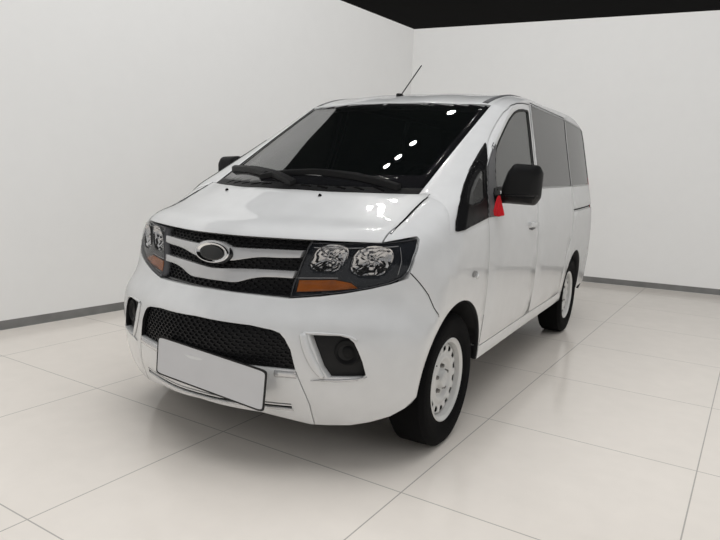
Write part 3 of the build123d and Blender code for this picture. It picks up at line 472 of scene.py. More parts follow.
shown_paler(WALL_MAT, (1.0, 0.97, 0.93), 0.15)
SQUARE = [(-STAGE_HALF, -STAGE_HALF), (STAGE_HALF, -STAGE_HALF), (STAGE_HALF, STAGE_HALF),
          (-STAGE_HALF, STAGE_HALF)]
stage_mesh("floor", [(x, y, 0) for x, y in SQUARE], [(0, 1, 2, 3)], FLOOR_MAT)
SKIRTING = grained("grey skirting", (0.20, 0.20, 0.195), size=6, depth=0.0001, low=0.5, high=0.6)
CEILING = grained("dark ceiling", (0.004, 0.004, 0.004), size=2, depth=0.001, low=0.8, high=0.9,
                  specular=0.1)


def upright(name, start, stop, foot, top, mat):
    """A flat upright face of the stage between two places on the floor, which looks at the car."""
    stage_mesh(name, [(*start, foot), (*stop, foot), (*stop, top), (*start, top)], [(3, 2, 1, 0)],
               mat)


def room():
    """Two pale walls that meet behind the car, a grey skirting along their feet and a dark
    ceiling over them."""
    corner = np.array(WALL_CORNER)
    for k, end in enumerate(np.array(WALL_ENDS)):
        start, stop = (corner, end) if k else (end, corner)
        upright("wall_%d" % k, start, stop, 0, WALL_TOP, WALL_MAT)
        beside = np.array([start[1] - stop[1], stop[0] - start[0]])
        shift = beside / math.hypot(*(stop - start)) * SKIRTING_PROUD
        upright("skirting_%d" % k, start + shift, stop + shift, SKIRTING_FOOT, SKIRTING_TOP,
                SKIRTING)
    roof = stage_mesh("dark_ceiling", [(x, y, CEILING_Z) for x, y in SQUARE], [(3, 2, 1, 0)],
                      CEILING)
    roof.visible_diffuse = roof.visible_shadow = False


for mat in (FLOOR_MAT, WALL_MAT, SKIRTING, CEILING):
    one_sided(mat)
room()


# ------------------------------------------------------------------ making pieces
def read(items, label, width=1):
    """One number, or one vector of that width, of every vertex or face, as an array."""
    values = np.empty(len(items) * width)
    items.foreach_get(label, values)
    return values.reshape(-1, width) if width > 1 else values


def circle(count):
    """Even steps round a full turn, in radians."""
    return np.arange(count) / count * 2 * np.pi


def squarish(wave, power):
    """A sine or cosine pushed towards one and minus one, for outlines with rounded corners."""
    return np.sign(wave) * np.abs(wave) ** power


def quads(rows, cols, closed=True):
    """The faces of a grid whose points are numbered row by row; closed joins the last column
    to the first."""
    i, j = np.meshgrid(np.arange(rows - 1), np.arange(cols if closed else cols - 1), indexing="ij")
    k = (j + 1) % cols
    corners = (i * cols + j, i * cols + k, (i + 1) * cols + k, (i + 1) * cols + j)
    return np.column_stack([corner.ravel() for corner in corners])


BODY_OF = {}


def link_piece(name, points, faces, mat, body, wall=0.0, out=None, smooth=True):
    """A mesh made a piece of one body; out is the way its faces should look, wall its thickness
    inwards."""
    mesh = bpy.data.meshes.new(name)
    rows = faces if isinstance(faces, list) else np.asarray(faces).tolist()
    mesh.from_pydata(np.asarray(points).tolist(), [], rows)
    mesh.materials.append(mat)
    mesh.update()
    if out is not None:
        normal, area = read(mesh.polygons, "normal", 3), read(mesh.polygons, "area")
        if (normal @ np.asarray(out) * area).sum() < 0:
            mesh.flip_normals()
    if smooth:
        mesh.shade_smooth()
    obj = new_object(name, mesh)
    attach(obj, body)
    BODY_OF[name] = body
    if wall:
        give_wall(obj, wall)
    return obj


def give_wall(obj, wall):
    """A wall of that thickness behind a surface, which stays its outer face."""
    thick = obj.modifiers.new("wall", "SOLIDIFY")
    thick.thickness = wall
    thick.offset = -1.0


def pair(obj):
    """The same piece on the right side, on the right one of its bodies."""
    mesh = obj.data.copy()
    co = read(mesh.vertices, "co", 3)
    co[:, 1] *= -1
    mesh.vertices.foreach_set("co", co.ravel())
    mesh.flip_normals()
    name = obj.name.replace("left", "right")
    mesh.name = name
    twin = new_object(name, mesh)
    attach(twin, BODY_OF[obj.name].replace("left", "right"))
    for modifier in obj.modifiers:
        if modifier.type == "SOLIDIFY":
            give_wall(twin, modifier.thickness)


# Each view: degrees that it is turned to the left, the axis looked along, where a drawing starts,
# and the way that it looks.
VIEWS = {"left": (0, 1, 1.6, -1), "front": (0, 0, 3.0, -1), "rear": (0, 0, -3.0, 1),
         "top": (0, 2, 2.6, -1), "lamp": (40, 0, 3.0, -1)}
TARGETS = {}


def turned(points, degrees):
    """Points as seen in a frame that is turned about the upright axis."""
    c, s = math.cos(math.radians(degrees)), math.sin(math.radians(degrees))
    points = np.asarray(points, dtype=float)
    return np.column_stack([points[:, 0] * c + points[:, 1] * s,
                            points[:, 1] * c - points[:, 0] * s, points[:, 2]])


def drawn(points, view):
    """Points in space as a drawing in one view."""
    turn, axis, _, _ = VIEWS[view]
    return np.delete(turned(points, turn), axis, axis=1)


def outward(view):
    """The way in space from the surface back to where a view looks from."""
    turn, axis, _, sense = VIEWS[view]
    way = np.zeros((1, 3))
    way[0, axis] = -sense
    return turned(way, -turn)[0]


def skin_of(names, turn):
    """One mesh of these nodes' faces in a turned frame, for pieces to be laid on."""
    key = (tuple(names), turn)
    if key not in TARGETS:
        points, faces, base = [], [], 0
        for name in names:
            mesh = nodes[name].data
            mesh.calc_loop_triangles()
            tri = np.empty(len(mesh.loop_triangles) * 3, dtype=np.int64)
            mesh.loop_triangles.foreach_get("vertices", tri)
            points.append(turned(read(mesh.vertices, "co", 3), turn))
            faces.append(tri.reshape(-1, 3) + base)
            base += len(mesh.vertices)
        mesh = bpy.data.meshes.new("skin")
        mesh.from_pydata(np.vstack(points).tolist(), [], np.vstack(faces).tolist())
        TARGETS[key] = new_object("skin", mesh)
    return TARGETS[key]


def laid(flat, view, names, lift=0.0):
    """Drawn points carried along the view onto the skin of some nodes, and lifted off it. A point
    beside the skin takes the depth of the nearest one on it."""
    turn, axis, start, sense = VIEWS[view]
    flat = np.asarray(flat, dtype=float)
    points = np.insert(flat, axis, start, axis=1)
    mesh = bpy.data.meshes.new("drawn")
    mesh.from_pydata(points.tolist(), [], [])
    obj = new_object("drawn", mesh)
    wrap = obj.modifiers.new("lay", "SHRINKWRAP")
    wrap.wrap_method = "PROJECT"
    wrap.target = skin_of(names, turn)
    wrap.use_project_x, wrap.use_project_y, wrap.use_project_z = axis == 0, axis == 1, axis == 2
    wrap.use_negative_direction, wrap.use_positive_direction = sense < 0, sense > 0
    wrap.wrap_mode = "ON_SURFACE"
    done = obj.evaluated_get(bpy.context.evaluated_depsgraph_get()).data
    co = read(done.vertices, "co", 3)
    missed = np.abs(co[:, axis] - start) < 1e-6
    if missed.all():
        raise RuntimeError("nothing under the drawing on " + ", ".join(names))
    if missed.any():
        gap = ((flat[missed][:, None, :] - flat[~missed][None, :, :]) ** 2).sum(axis=2)
        co[missed, axis] = co[~missed, axis][gap.argmin(axis=1)]
    co[:, axis] -= sense * lift
    bpy.data.objects.remove(obj)
    bpy.data.meshes.remove(mesh)
    return turned(co, -turn)


def smooth_ring(points, closed=True, rounds=2):
    """Corner cutting: every run gives two points, a quarter and three quarters along."""
    ring = np.asarray(points, dtype=float)
    for _ in range(rounds):
        after = np.roll(ring, -1, axis=0) if closed else ring[1:]
        here = ring if closed else ring[:-1]
        cut = np.empty((2 * len(here), 2))
        cut[0::2], cut[1::2] = here * 0.75 + after * 0.25, here * 0.25 + after * 0.75
        ring = cut if closed else np.vstack([ring[:1], cut, ring[-1:]])
    return ring


def fine(points, step, closed=False):
    """Points added evenly along each run so that none is longer than a step."""
    ring = np.asarray(points, dtype=float)
    ends = np.roll(ring, -1, axis=0) if closed else ring[1:]
    starts = ring if closed else ring[:-1]
    runs = [np.linspace(p, q, max(2, int(np.ceil(np.hypot(*(q - p)) / step)) + 1))[:-1] for p,
            q in zip(starts, ends)]
    rows = np.vstack(runs)
    return rows if closed else np.vstack([rows, ring[-1:]])


def within(points, ring):
    """Which points lie inside a closed outline, by the crossings of a level line."""
    points, ring = np.asarray(points), np.asarray(ring)
    x, y = points[:, 0][:, None], points[:, 1][:, None]
    x0, y0 = ring[:, 0][None, :], ring[:, 1][None, :]
    x1, y1 = np.roll(ring[:, 0], -1)[None, :], np.roll(ring[:, 1], -1)[None, :]
    level = (y0 > y) != (y1 > y)
    rise = np.where(y1 == y0, 1e-12, y1 - y0)
    return ((level & (x < x0 + (y - y0) * (x1 - x0) / rise)).sum(axis=1) % 2) == 1


def patch(name, outline, view, names, mat, body, lift=0.001, step=0.02, round_off=0, holes=(),
          wall=0.002):
    """A thin skin that fills an outline and follows the surface under it."""
    ring = smooth_ring(outline, rounds=round_off) if round_off else np.asarray(outline, dtype=float)
    rings = [fine(each, step, closed=True) for each in (ring, *holes)]
    low, high = ring.min(axis=0), ring.max(axis=0)
    xs, ys = np.meshgrid(np.arange(low[0] + step / 2, high[0], step),
                         np.arange(low[1] + step / 2, high[1], step))
    flat = np.vstack(rings + [np.column_stack([xs.ravel(), ys.ravel()])])
    ends = np.cumsum([len(each) for each in rings])
    loops = [list(range(end - len(each), end)) for each, end in zip(rings, ends)]
    verts, _, faces, _, _, _ = delaunay_2d_cdt([Vector(p) for p in flat.tolist()], [], loops, 1,
                                               1e-6)
    flat = np.array([v[:] for v in verts])
    faces = np.array([f[:] for f in faces])
    middle = flat[faces].mean(axis=1)
    keep = within(middle, rings[0])
    for hole in rings[1:]:
        keep &= ~within(middle, hole)
    used, faces = np.unique(faces[keep], return_inverse=True)
    points = laid(flat[used], view, names, lift)
    return link_piece(name, points, faces.reshape(-1, 3), mat, body, wall, outward(view))


def ribbon(name, line, view, names, mat, body, width=0.006, lift=0.001, step=0.02, closed=False,
           round_off=0, crown=0.0, wall=0.002, taper=None):
    """A band along a drawn line, laid on the surface: its middle may stand up by a crown, and taper
    gives its width's share at each end."""
    line = smooth_ring(line, closed, round_off) if round_off else np.asarray(line, dtype=float)
    line = fine(line, step, closed)
    ahead = np.roll(line, -1, axis=0) - np.roll(line, 1, axis=0)
    if not closed:
        ahead[0], ahead[-1] = line[1] - line[0], line[-1] - line[-2]
    ahead /= np.maximum(np.linalg.norm(ahead, axis=1), 1e-9)[:, None]
    across = np.column_stack([-ahead[:, 1], ahead[:, 0]]) * width
    if taper:
        share = np.interp(np.linspace(0, 1, len(line)), np.linspace(0, 1, len(taper)), taper)
        across *= share[:, None]
    shares = (-0.5, -0.3, 0.0, 0.3, 0.5) if crown else (-0.5, 0.5)
    flat = np.vstack([line + across * s for s in shares])
    rise = np.repeat([lift + crown * (1 - (2 * s) ** 2) for s in shares], len(line))
    points = laid(flat, view, names, rise)
    return link_piece(name, points, quads(len(shares), len(line), closed), mat, body, wall,
                      outward(view))


def wall_between(name, ring, view, names, mat, body, high, low, step=0.02, wall=0.001):
    """The side wall of a recess, between an outline at two depths."""
    ring = fine(ring, step, closed=True)
    points = np.vstack([laid(ring, view, names, high), laid(ring, view, names, low)])
    return link_piece(name, points, quads(2, len(ring)), mat, body, wall)


def spun(name, profile, centre, axis, mat, body, sides=64, flutes=0, flute_depth=0.0, squash=1.0):
    """A turned shape: radius r and distance h along the axis, with flutes that ripple the radius
    as r (1 + depth cos(flutes a)); squash narrows it across the second direction."""
    profile = np.asarray(profile, dtype=float)
    axis = Vector(axis).normalized()
    across = axis.cross(Vector((0, 0, 1))).normalized() if abs(axis.z) < 0.9 else Vector((1, 0, 0))
    up = across.cross(axis).normalized()
    turn = circle(sides)
    ripple = 1 + flute_depth * np.cos(flutes * turn)
    r = profile[:, 0][:, None] * ripple[None, :]
    points = (np.asarray(centre)[None, None, :] + profile[:, 1][:, None, None]
              * np.asarray(axis)[None, None, :] + (r * np.cos(turn))[..., None] * np.asarray(across)
              + (r * np.sin(turn) * squash)[..., None] * np.asarray(up))
    return link_piece(name, points.reshape(-1, 3), quads(len(profile), sides), mat, body)


def tube(name, points, radius, mat, body):
    """A round bar along smooth points, as a curve with a bevel."""
    data = bpy.data.curves.new(name, "CURVE")
    data.dimensions = "3D"
    data.bevel_depth = radius
    data.bevel_resolution = 3
    data.use_fill_caps = True
    spline = data.splines.new("NURBS")
    points = np.asarray(points, dtype=float)
    spline.points.add(len(points) - 1)
    spline.points.foreach_set("co", np.column_stack([points, np.ones(len(points))]).ravel())
    spline.order_u = 3
    spline.use_endpoint_u = True
    spline.resolution_u = 3
    data.materials.append(mat)
    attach(new_object(name, data), body)


# The solids are loose triangles: corners this close are one, edges sharper than the first angle
# are rounded by their finish's width, and shading breaks at edges sharper than the second.
WELD = 0.00002
ROUNDED_OVER, SHARP_OVER = math.radians(38), math.radians(35)
BEVEL = {"paint": 0.003, "bright_silver": 0.004, "black_plastic": 0.006}
for name, node in nodes.items():
    weld = node.modifiers.new("weld", "WELD")
    weld.merge_threshold = WELD
    kind = slot_of[name]
    if kind in BEVEL and name != "grilles":
        edge = node.modifiers.new("edge", "BEVEL")
        edge.width = BEVEL[kind]
        edge.segments = 2
        edge.limit_method = "ANGLE"
        edge.angle_limit = ROUNDED_OVER
        edge.use_clamp_overlap = True
    sharp = node.modifiers.new("sharp", "EDGE_SPLIT")
    sharp.split_angle = SHARP_OVER
    node.data.shade_smooth()


# ------------------------------------------------------------------ camera and lamps placed
camera()
area_light("ceiling", (1.2, 0.6, 5.6), target=(0.8, 0.2, 0.6), size=(7.0, 5.0), power=245)
area_light("front", (7.2, -0.6, 3.6), target=(1.6, 0.0, 0.7), size=(4.0, 2.4), power=52)
area_light("left", (1.0, 6.8, 3.4), target=(0.2, 0.6, 0.8), size=(6.0, 2.4), power=44)
world = bpy.data.worlds.new("studio")
world.use_nodes = True
world.node_tree.nodes["Background"].inputs["Color"].default_value = (1, 1, 1, 1)
world.node_tree.nodes["Background"].inputs["Strength"].default_value = 0.36
SCENE.world = world
SCENE.view_settings.view_transform = "Standard"


SPOTS = [(-1.10, -0.28), (-0.50, -0.35), (-0.25, -0.36), (-0.10, -0.41)]
SPOT_RADIUS, SPOT_Z, SPOT_SIDES, SPOT_GLOW = 0.038, 3.88, 24, 70.0


def ceiling_spots():
    """Small round ceiling lamps over the car, which show as bright dots in its glass."""
    a = circle(SPOT_SIDES)
    glow, _, shader = new_material("ceiling spot")
    shader.inputs["Emission Color"].default_value = (1.0, 0.97, 0.92, 1)
    shader.inputs["Emission Strength"].default_value = SPOT_GLOW
    one_sided(glow)
    for k, (x, y) in enumerate(SPOTS):
        rim = np.column_stack([x + SPOT_RADIUS * np.cos(a), y - SPOT_RADIUS * np.sin(a),
                               np.full(SPOT_SIDES, SPOT_Z)])
        stage_mesh("spot_%d" % k, rim.tolist(), [tuple(range(SPOT_SIDES))], glow)


ceiling_spots()


# ------------------------------------------------------------------ corners and rubbers
# Outlines and lines on the left side: how far forward, and how high.
QUARTER_GLASS = [(1.402, 1.146), (1.132, 1.174), (1.121, 1.228), (1.066, 1.345), (1.171, 1.296),
                 (1.300, 1.224)]
CORNER_PANEL = [(1.527, 1.045), (1.502, 1.084), (1.437, 1.148), (1.381, 1.192), (1.282, 1.249),
                (1.153, 1.319), (1.024, 1.379), (1.057, 1.228), (1.095, 1.092), (1.392, 1.058),
                (1.508, 1.042)]
CORNER_TIP = [(1.160, 1.322), (1.041, 1.384), (0.944, 1.435), (0.852, 1.482), (0.862, 1.471),
              (1.013, 1.364), (1.048, 1.285), (1.050, 1.372)]
DOOR_SAIL = [(1.093, 1.090), (1.055, 1.228), (1.001, 1.352), (0.846, 1.464), (0.806, 1.486),
             (0.786, 1.462), (0.862, 1.361), (0.906, 1.240), (0.897, 1.090)]
DOOR_POST = [(0.050, 1.240), (0.014, 1.400), (-0.006, 1.600), (-0.008, 1.728)]
MIRROR_BASE = [(0.985, 1.238), (0.850, 1.244), (0.852, 1.150), (0.965, 1.120)]
BUMPER_SEAM = [(1.870, 0.883), (1.833, 0.835), (1.796, 0.785), (1.768, 0.726), (1.737, 0.682)]
DOOR_GLASS = [(0.905, 1.238), (0.866, 1.356), (0.800, 1.446), (0.720, 1.495), (0.580, 1.571),
              (0.444, 1.641), (0.315, 1.691), (0.206, 1.717), (0.096, 1.730), (-0.030, 1.736),
              (-0.028, 1.600), (-0.008, 1.400), (0.028, 1.240)]
SLIDE_GLASS = [(-0.112, 1.240), (-0.132, 1.600), (-0.134, 1.784), (-1.219, 1.788), (-1.163, 1.252)]
REAR_GLASS = [(-1.185, 1.252), (-1.245, 1.788), (-2.070, 1.775), (-2.128, 1.700), (-2.165, 1.420),
              (-2.150, 1.268)]
# The roof's ditch and the bonnet's seam on the left side, from above: how far forward, and left.
ROOF_DITCH = [(0.455, 0.600), (0.2, 0.610), (-0.5, 0.616), (-1.5, 0.606), (-2.12, 0.584)]
BONNET_SEAM = [(1.440, 0.694), (1.504, 0.687), (1.628, 0.684), (1.753, 0.687), (1.860, 0.695)]

SIDE_GLASS = clear("door glass", (0.105, 0.108, 0.104), alpha=0.86)
GLOSS_TRIM = grained("satin black trim", (0.008, 0.008, 0.0085), size=700, depth=0.0002, low=0.34,
                     high=0.46, specular=0.18)


def side_trims():
    """Black corner with its small window, door sail and mirror base, rubbers, glass borders,
    roof ditch, and painted shade along the door rail and in the bumper seam, each on the left
    and then on the right."""
    door = ["front_door_left"]
    made = [
        patch("corner_panel_left", CORNER_PANEL, "left", ["side_glass", "body_side_left"],
              GLOSS_TRIM, "body", lift=0.0050, step=0.010,
              holes=[smooth_ring(QUARTER_GLASS, rounds=1)], wall=0.003),
        patch("corner_tip_left", CORNER_TIP, "left", ["body_side_left"], GLOSS_TRIM, "body",
              lift=0.0050, step=0.010),
        ribbon("corner_edge_left", CORNER_PANEL[:7], "left", ["side_glass", "body_side_left"],
               GLOSS_TRIM, "body", width=0.010, lift=0.0055, crown=0.0010),
        ribbon("quarter_rubber_left", QUARTER_GLASS, "left", ["side_glass"], BLACK, "body",
               width=0.009, lift=0.0055, closed=True, crown=0.001, round_off=1),
        patch("mirror_base_left", MIRROR_BASE, "left", door, BLACK, "front_door_left", lift=0.0045,
              round_off=1),
        patch("door_sail_left", DOOR_SAIL, "left", door, GREY_TRIM, "front_door_left", lift=0.0035),
        ribbon("door_rubber_left", DOOR_GLASS, "left", door, BLACK, "front_door_left", width=0.016,
               lift=0.0012, closed=True, crown=0.003),
        ribbon("door_post_left", DOOR_POST, "left", ["front_door_glass_left"], BLACK,
               "front_door_left", width=0.042, lift=0.003, crown=0.001),
        ribbon("belt_rubber_left", [(0.905, 1.230), (0.45, 1.232), (0.026, 1.234)], "left", door,
               BLACK, "front_door_left", width=0.014, lift=0.002, crown=0.004),
        ribbon("slide_border_left", SLIDE_GLASS, "left", ["side_glass", "sliding_doors"],
               GLOSS_BLACK, "body", width=0.012, lift=0.0012, closed=True),
        ribbon("rear_border_left", REAR_GLASS, "left", ["side_glass", "body_side_left"],
               GLOSS_BLACK, "body", width=0.014, lift=0.0012, closed=True),
        # Painted shade in the sliding door's rail channel.
        ribbon("rail_left", [(-0.936, 1.053), (-1.6, 1.062), (-2.158, 1.070)], "left",
               ["body_side_left"], SEAM_SHADOW, "body", width=0.010, lift=0.0012),
        ribbon("ditch_left", ROOF_DITCH, "top", ["roof_panel"], GREY_TRIM, "body", width=0.034,
               lift=0.0015, crown=0.004, step=0.05, taper=(1.0, 0.85, 0.5, 0.4, 0.4, 0.4)),
        # Painted shade in the seam between fender and bumper.
        ribbon("bumper_seam_left", BUMPER_SEAM, "left", ["front_fenders", "front_bumper"], SEAM_SHADOW,
               "body", width=0.004, lift=0.0009),
    ]
    for obj in made:
        pair(obj)


for name in ("front_door_glass_left", "front_door_glass_right"):
    dress(nodes[name], SIDE_GLASS)
side_trims()

# ------------------------------------------------------------------ windscreen border and cowl
# Places across the windscreen in metres, and how far its edge runs back there in millimetres.
COWL_BACK = np.array([(0.0, 0), (0.180, 21), (0.359, 82), (0.512, 166), (0.640, 248), (0.740, 292)])
HEADER_BACK = np.array([(0.0, 0), (0.180, 11), (0.359, 44), (0.512, 86), (0.640, 132),
                        (0.740, 164)])
SCREEN_HALF = 0.632


def screen_line(rows, front, shift):
    """Where an edge of the windscreen runs, in plan, over both halves."""
    y = np.linspace(-SCREEN_HALF, SCREEN_HALF, 41)
    x = front - np.interp(np.abs(y), rows[:, 0], rows[:, 1]) / 1000 + shift
    return np.column_stack([x, y])


def windscreen_border():
    """A dark band round the glass: wide at its foot, narrow at its sides and top."""
    foot = screen_line(COWL_BACK, 1.700, -0.050)
    head = screen_line(HEADER_BACK, 0.580, 0.012)
    outer = np.vstack([foot, head[::-1]])
    inner = np.vstack([(foot + [-0.100, 0]) * [1, 0.945], (head[::-1] + [0.050, 0]) * [1, 0.945]])
    patch("windscreen_border", outer, "top", ["windscreen"], GLOSS_BLACK, "body", lift=0.0008,
          step=0.03, holes=[smooth_ring(inner, rounds=1)], wall=0.0012)


windscreen_border()


def cowl_slots():
    """Rows of short slots in the cowl, each a dark band of painted shade laid on it."""
    first, pitch, half = 0.12, 0.085, 0.030
    for side in (-1, 1):
        for k in range(5):
            y = side * (first + pitch * k)
            x = 1.672 - np.interp(abs(y), COWL_BACK[:, 0], COWL_BACK[:, 1]) / 1000
            ribbon("cowl_slot_%d_%s" % (k, "left" if side > 0 else "right"),
                   [(x, y - half), (x, y + half)], "top", ["cowl_panel"], SEAM_SHADOW, "body", width=0.012,
                   lift=0.0012)


cowl_slots()
# Painted shade in the seam between bonnet and fenders.
pair(ribbon("bonnet_seam_left", BONNET_SEAM, "top", ["front_fenders", "bonnet"], SEAM_SHADOW, "body",
            width=0.008, lift=0.0012))
for k, (x, y, z) in enumerate([(1.686, -0.361, 1.171), (1.723, 0.245, 1.174)]):
    foot = laid([(x, y)], "top", ["bonnet"])[0]
    spun("washer_jet_%d" % k,
         [(0.0001, 0.011), (0.005, 0.010), (0.009, 0.007), (0.011, 0.003), (0.012, -0.002)], foot,
         (0.15, 0, 1), GLOSS_BLACK, "bonnet", sides=24, squash=0.7)

# ------------------------------------------------------------------ headlamps
LAMP_EDGE = [(2.058, 0.426, 0.990), (2.006, 0.536, 0.992), (1.912, 0.685, 1.001),
             (1.854, 0.736, 1.008), (1.775, 0.779, 1.018), (1.796, 0.799, 0.990),
             (1.842, 0.804, 0.946), (1.873, 0.799, 0.890), (1.900, 0.777, 0.860),
             (1.934, 0.738, 0.838), (1.984, 0.670, 0.816), (2.037, 0.581, 0.795),
             (2.087, 0.491, 0.779), (2.136, 0.380, 0.763), (2.116, 0.384, 0.821),
             (2.095, 0.403, 0.898), (2.073, 0.421, 0.968)]
# Each reflector: its middle, width, height, degrees turned to the left, and lean.
BOWLS = [((2.043, 0.506, 0.930), 0.142, 0.118, 25, -0.42),
         ((1.963, 0.668, 0.926), 0.166, 0.128, 33, -0.30)]
AMBER_EDGE = [(2.106, 0.402, 0.833), (2.058, 0.470, 0.838), (2.040, 0.540, 0.842),
              (2.015, 0.600, 0.832), (2.004, 0.630, 0.812), (2.060, 0.525, 0.797),
              (2.119, 0.398, 0.785)]
LAMP_LINE = [(2.050, 0.432, 0.972), (2.003, 0.540, 0.974), (1.912, 0.680, 0.984),
             (1.856, 0.728, 0.990)]
LAMP_BAND = [(1.872, 0.752, 0.985), (1.884, 0.766, 0.930), (1.906, 0.764, 0.872)]
AMBER_LINE = [(2.112, 0.392, 0.842), (2.062, 0.470, 0.847), (2.036, 0.550, 0.851)]
LAMP_DEEP = -0.052


def bowl_ring(spot, share=1.0, sides=36):
    """The rim of one reflector: a rounded box leaning inwards, in a plane turned with the lamp."""
    (x, y, z), wide, high, turn, lean = spot
    a = circle(sides)
    u = squarish(np.cos(a), 0.72) * wide / 2
    v = squarish(np.sin(a), 0.72) * high / 2
    u = (u + lean * -v) * share
    v = v * share
    t = math.radians(turn)
    return np.column_stack([x - u * math.sin(t), y + u * math.cos(t), z + v])


def reflector(name, spot, deep=0.036):
    """A bowl in flat bright facets: its depth falls as 1 - share squared, and every other facet of
    each ring is set in a little, as a multi-faced reflector has them."""
    turn = math.radians(spot[3])
    way = np.array([math.cos(turn), math.sin(turn), 0])
    rings = []
    for k, share in enumerate((1.0, 0.93, 0.80, 0.64, 0.46, 0.28, 0.12, 0.01)):
        ring = bowl_ring(spot, share)
        sink = 0.010 + deep * (1 - share ** 2) + 0.0022 * ((np.arange(len(ring)) // 3 + k) % 2)
        rings.append(ring - way * sink[:, None])
    faces = quads(len(rings), len(rings[0]))
    obj = link_piece(name, np.vstack(rings), faces, CHROME, "body", wall=0.001, out=way,
                     smooth=False)
    pair(obj)
    centre = np.asarray(spot[0]) - way * 0.030
    shield = spun(name.replace("reflector", "bulb_shield"),
                  [(0.0001, 0.016), (0.008, 0.014), (0.013, 0.007), (0.014, -0.012)], centre, way,
                  CHROME, "body", sides=24)
    pair(shield)


LAMP_BACK = grained("lamp housing", (0.10, 0.10, 0.105), size=300, depth=0.0001, low=0.3, high=0.4)
LAMP_BEZEL = grained("lamp bezel", (0.016, 0.018, 0.022), size=300, depth=0.00005, low=0.10,
                     high=0.2, coat=0.6)


def headlamp():
    """What lies under a lamp's glass: a housing with its wall, a bezel with holes for the
    bowls and the amber lens, and three bright lines."""
    edge = drawn(LAMP_EDGE, "lamp")
    lamp = ["headlamps"]
    rims = [drawn(bowl_ring(spot, 1.0), "lamp") for spot in BOWLS]
    amber = drawn(AMBER_EDGE, "lamp")
    made = [
        patch("lamp_back_left", edge, "lamp", lamp, LAMP_BACK, "body", lift=LAMP_DEEP, wall=0.001),
        wall_between("lamp_wall_left", edge, "lamp", lamp, LAMP_BACK, "body", high=-0.003,
                     low=LAMP_DEEP),
        patch("lamp_bezel_left", edge, "lamp", lamp, LAMP_BEZEL, "body", lift=-0.0125, wall=0.0015,
              step=0.012, holes=rims + [amber]),
        patch("amber_lens_left", amber, "lamp", lamp, AMBER, "body", lift=-0.009, wall=0.003,
              step=0.012),
        ribbon("lamp_line_left", drawn(LAMP_LINE, "lamp"), "lamp", lamp, SILVER, "body",
               width=0.004, lift=-0.010, crown=0.001),
        ribbon("lamp_band_left", drawn(LAMP_BAND, "lamp"), "lamp", lamp, SILVER, "body",
               width=0.003, lift=-0.010, crown=0.001),
        ribbon("amber_line_left", drawn(AMBER_LINE, "lamp"), "lamp", lamp, SILVER, "body",
               width=0.003, lift=-0.0095, crown=0.001),
    ]
    for obj in made:
        pair(obj)
    for k, spot in enumerate(BOWLS):
        reflector("reflector_%d_left" % k, spot)


headlamp()

# ------------------------------------------------------------------ grilles
UPPER_HOLE = [(-0.418, 1.000), (-0.410, 0.970), (-0.394, 0.898), (-0.375, 0.821), (-0.368, 0.764),
              (0.368, 0.764), (0.375, 0.821), (0.394, 0.898), (0.410, 0.970), (0.418, 1.000)]
LOWER_HOLE = [(0, 0.655), (0.258, 0.648), (0.352, 0.636), (0.384, 0.626), (0.406, 0.604),
              (0.432, 0.559), (0.453, 0.472), (0.268, 0.474), (0, 0.480), (-0.268, 0.474),
              (-0.453, 0.472), (-0.432, 0.559), (-0.406, 0.604), (-0.384, 0.626), (-0.352, 0.636),
              (-0.258, 0.648)]


def honeycomb(name, outline, view, names, mat, wide, high, share, proud, deep, sides=6):
    """A net of six-sided cells, each a flat rim with walls that go back: cell corners lie at
    wide cos a and high sin a round its middle, the inner ones at a share of that, rows are set off
    by half a cell, and cells whose middle is outside the outline are left out."""
    ring = np.asarray(outline, dtype=float)
    low, top = ring.min(axis=0), ring.max(axis=0)
    rows = np.arange(int((top[1] - low[1]) / (0.75 * high)) + 2)
    cols = np.arange(int((top[0] - low[0]) / wide) + 2)
    r, c = np.meshgrid(rows, cols, indexing="ij")
    middle = np.column_stack([(low[0] + wide * (c + 0.5 * (r % 2))).ravel(),
                              (low[1] + 0.75 * high * r).ravel()])
    middle = middle[within(middle, ring)]
    a = (np.arange(sides) + 0.5) / sides * 2 * np.pi
    corner = np.column_stack([np.cos(a) * wide / 2 / math.cos(math.pi / 6), np.sin(a) * high / 2])
    outer = middle[:, None, :] + corner
    inner = middle[:, None, :] + corner * share
    n = len(middle)
    front = laid(outer.reshape(-1, 2), view, names, proud)
    brim = laid(inner.reshape(-1, 2), view, names, proud)
    foot = laid((middle[:, None, :] + corner * (share - 0.06)).reshape(-1, 2), view, names,
                proud - deep)
    k = np.arange(n)[:, None] * sides + np.arange(sides)[None, :]
    j = np.arange(n)[:, None] * sides + (np.arange(sides)[None, :] + 1) % sides
    base = n * sides
    rim = np.stack([k, j, j + base, k + base], axis=2).reshape(-1, 4)
    side = np.stack([k + base, j + base, j + 2 * base, k + 2 * base], axis=2).reshape(-1, 4)
    link_piece(name, np.vstack([front, brim, foot]), np.vstack([rim, side]), mat, "body",
               out=outward(view), smooth=False)


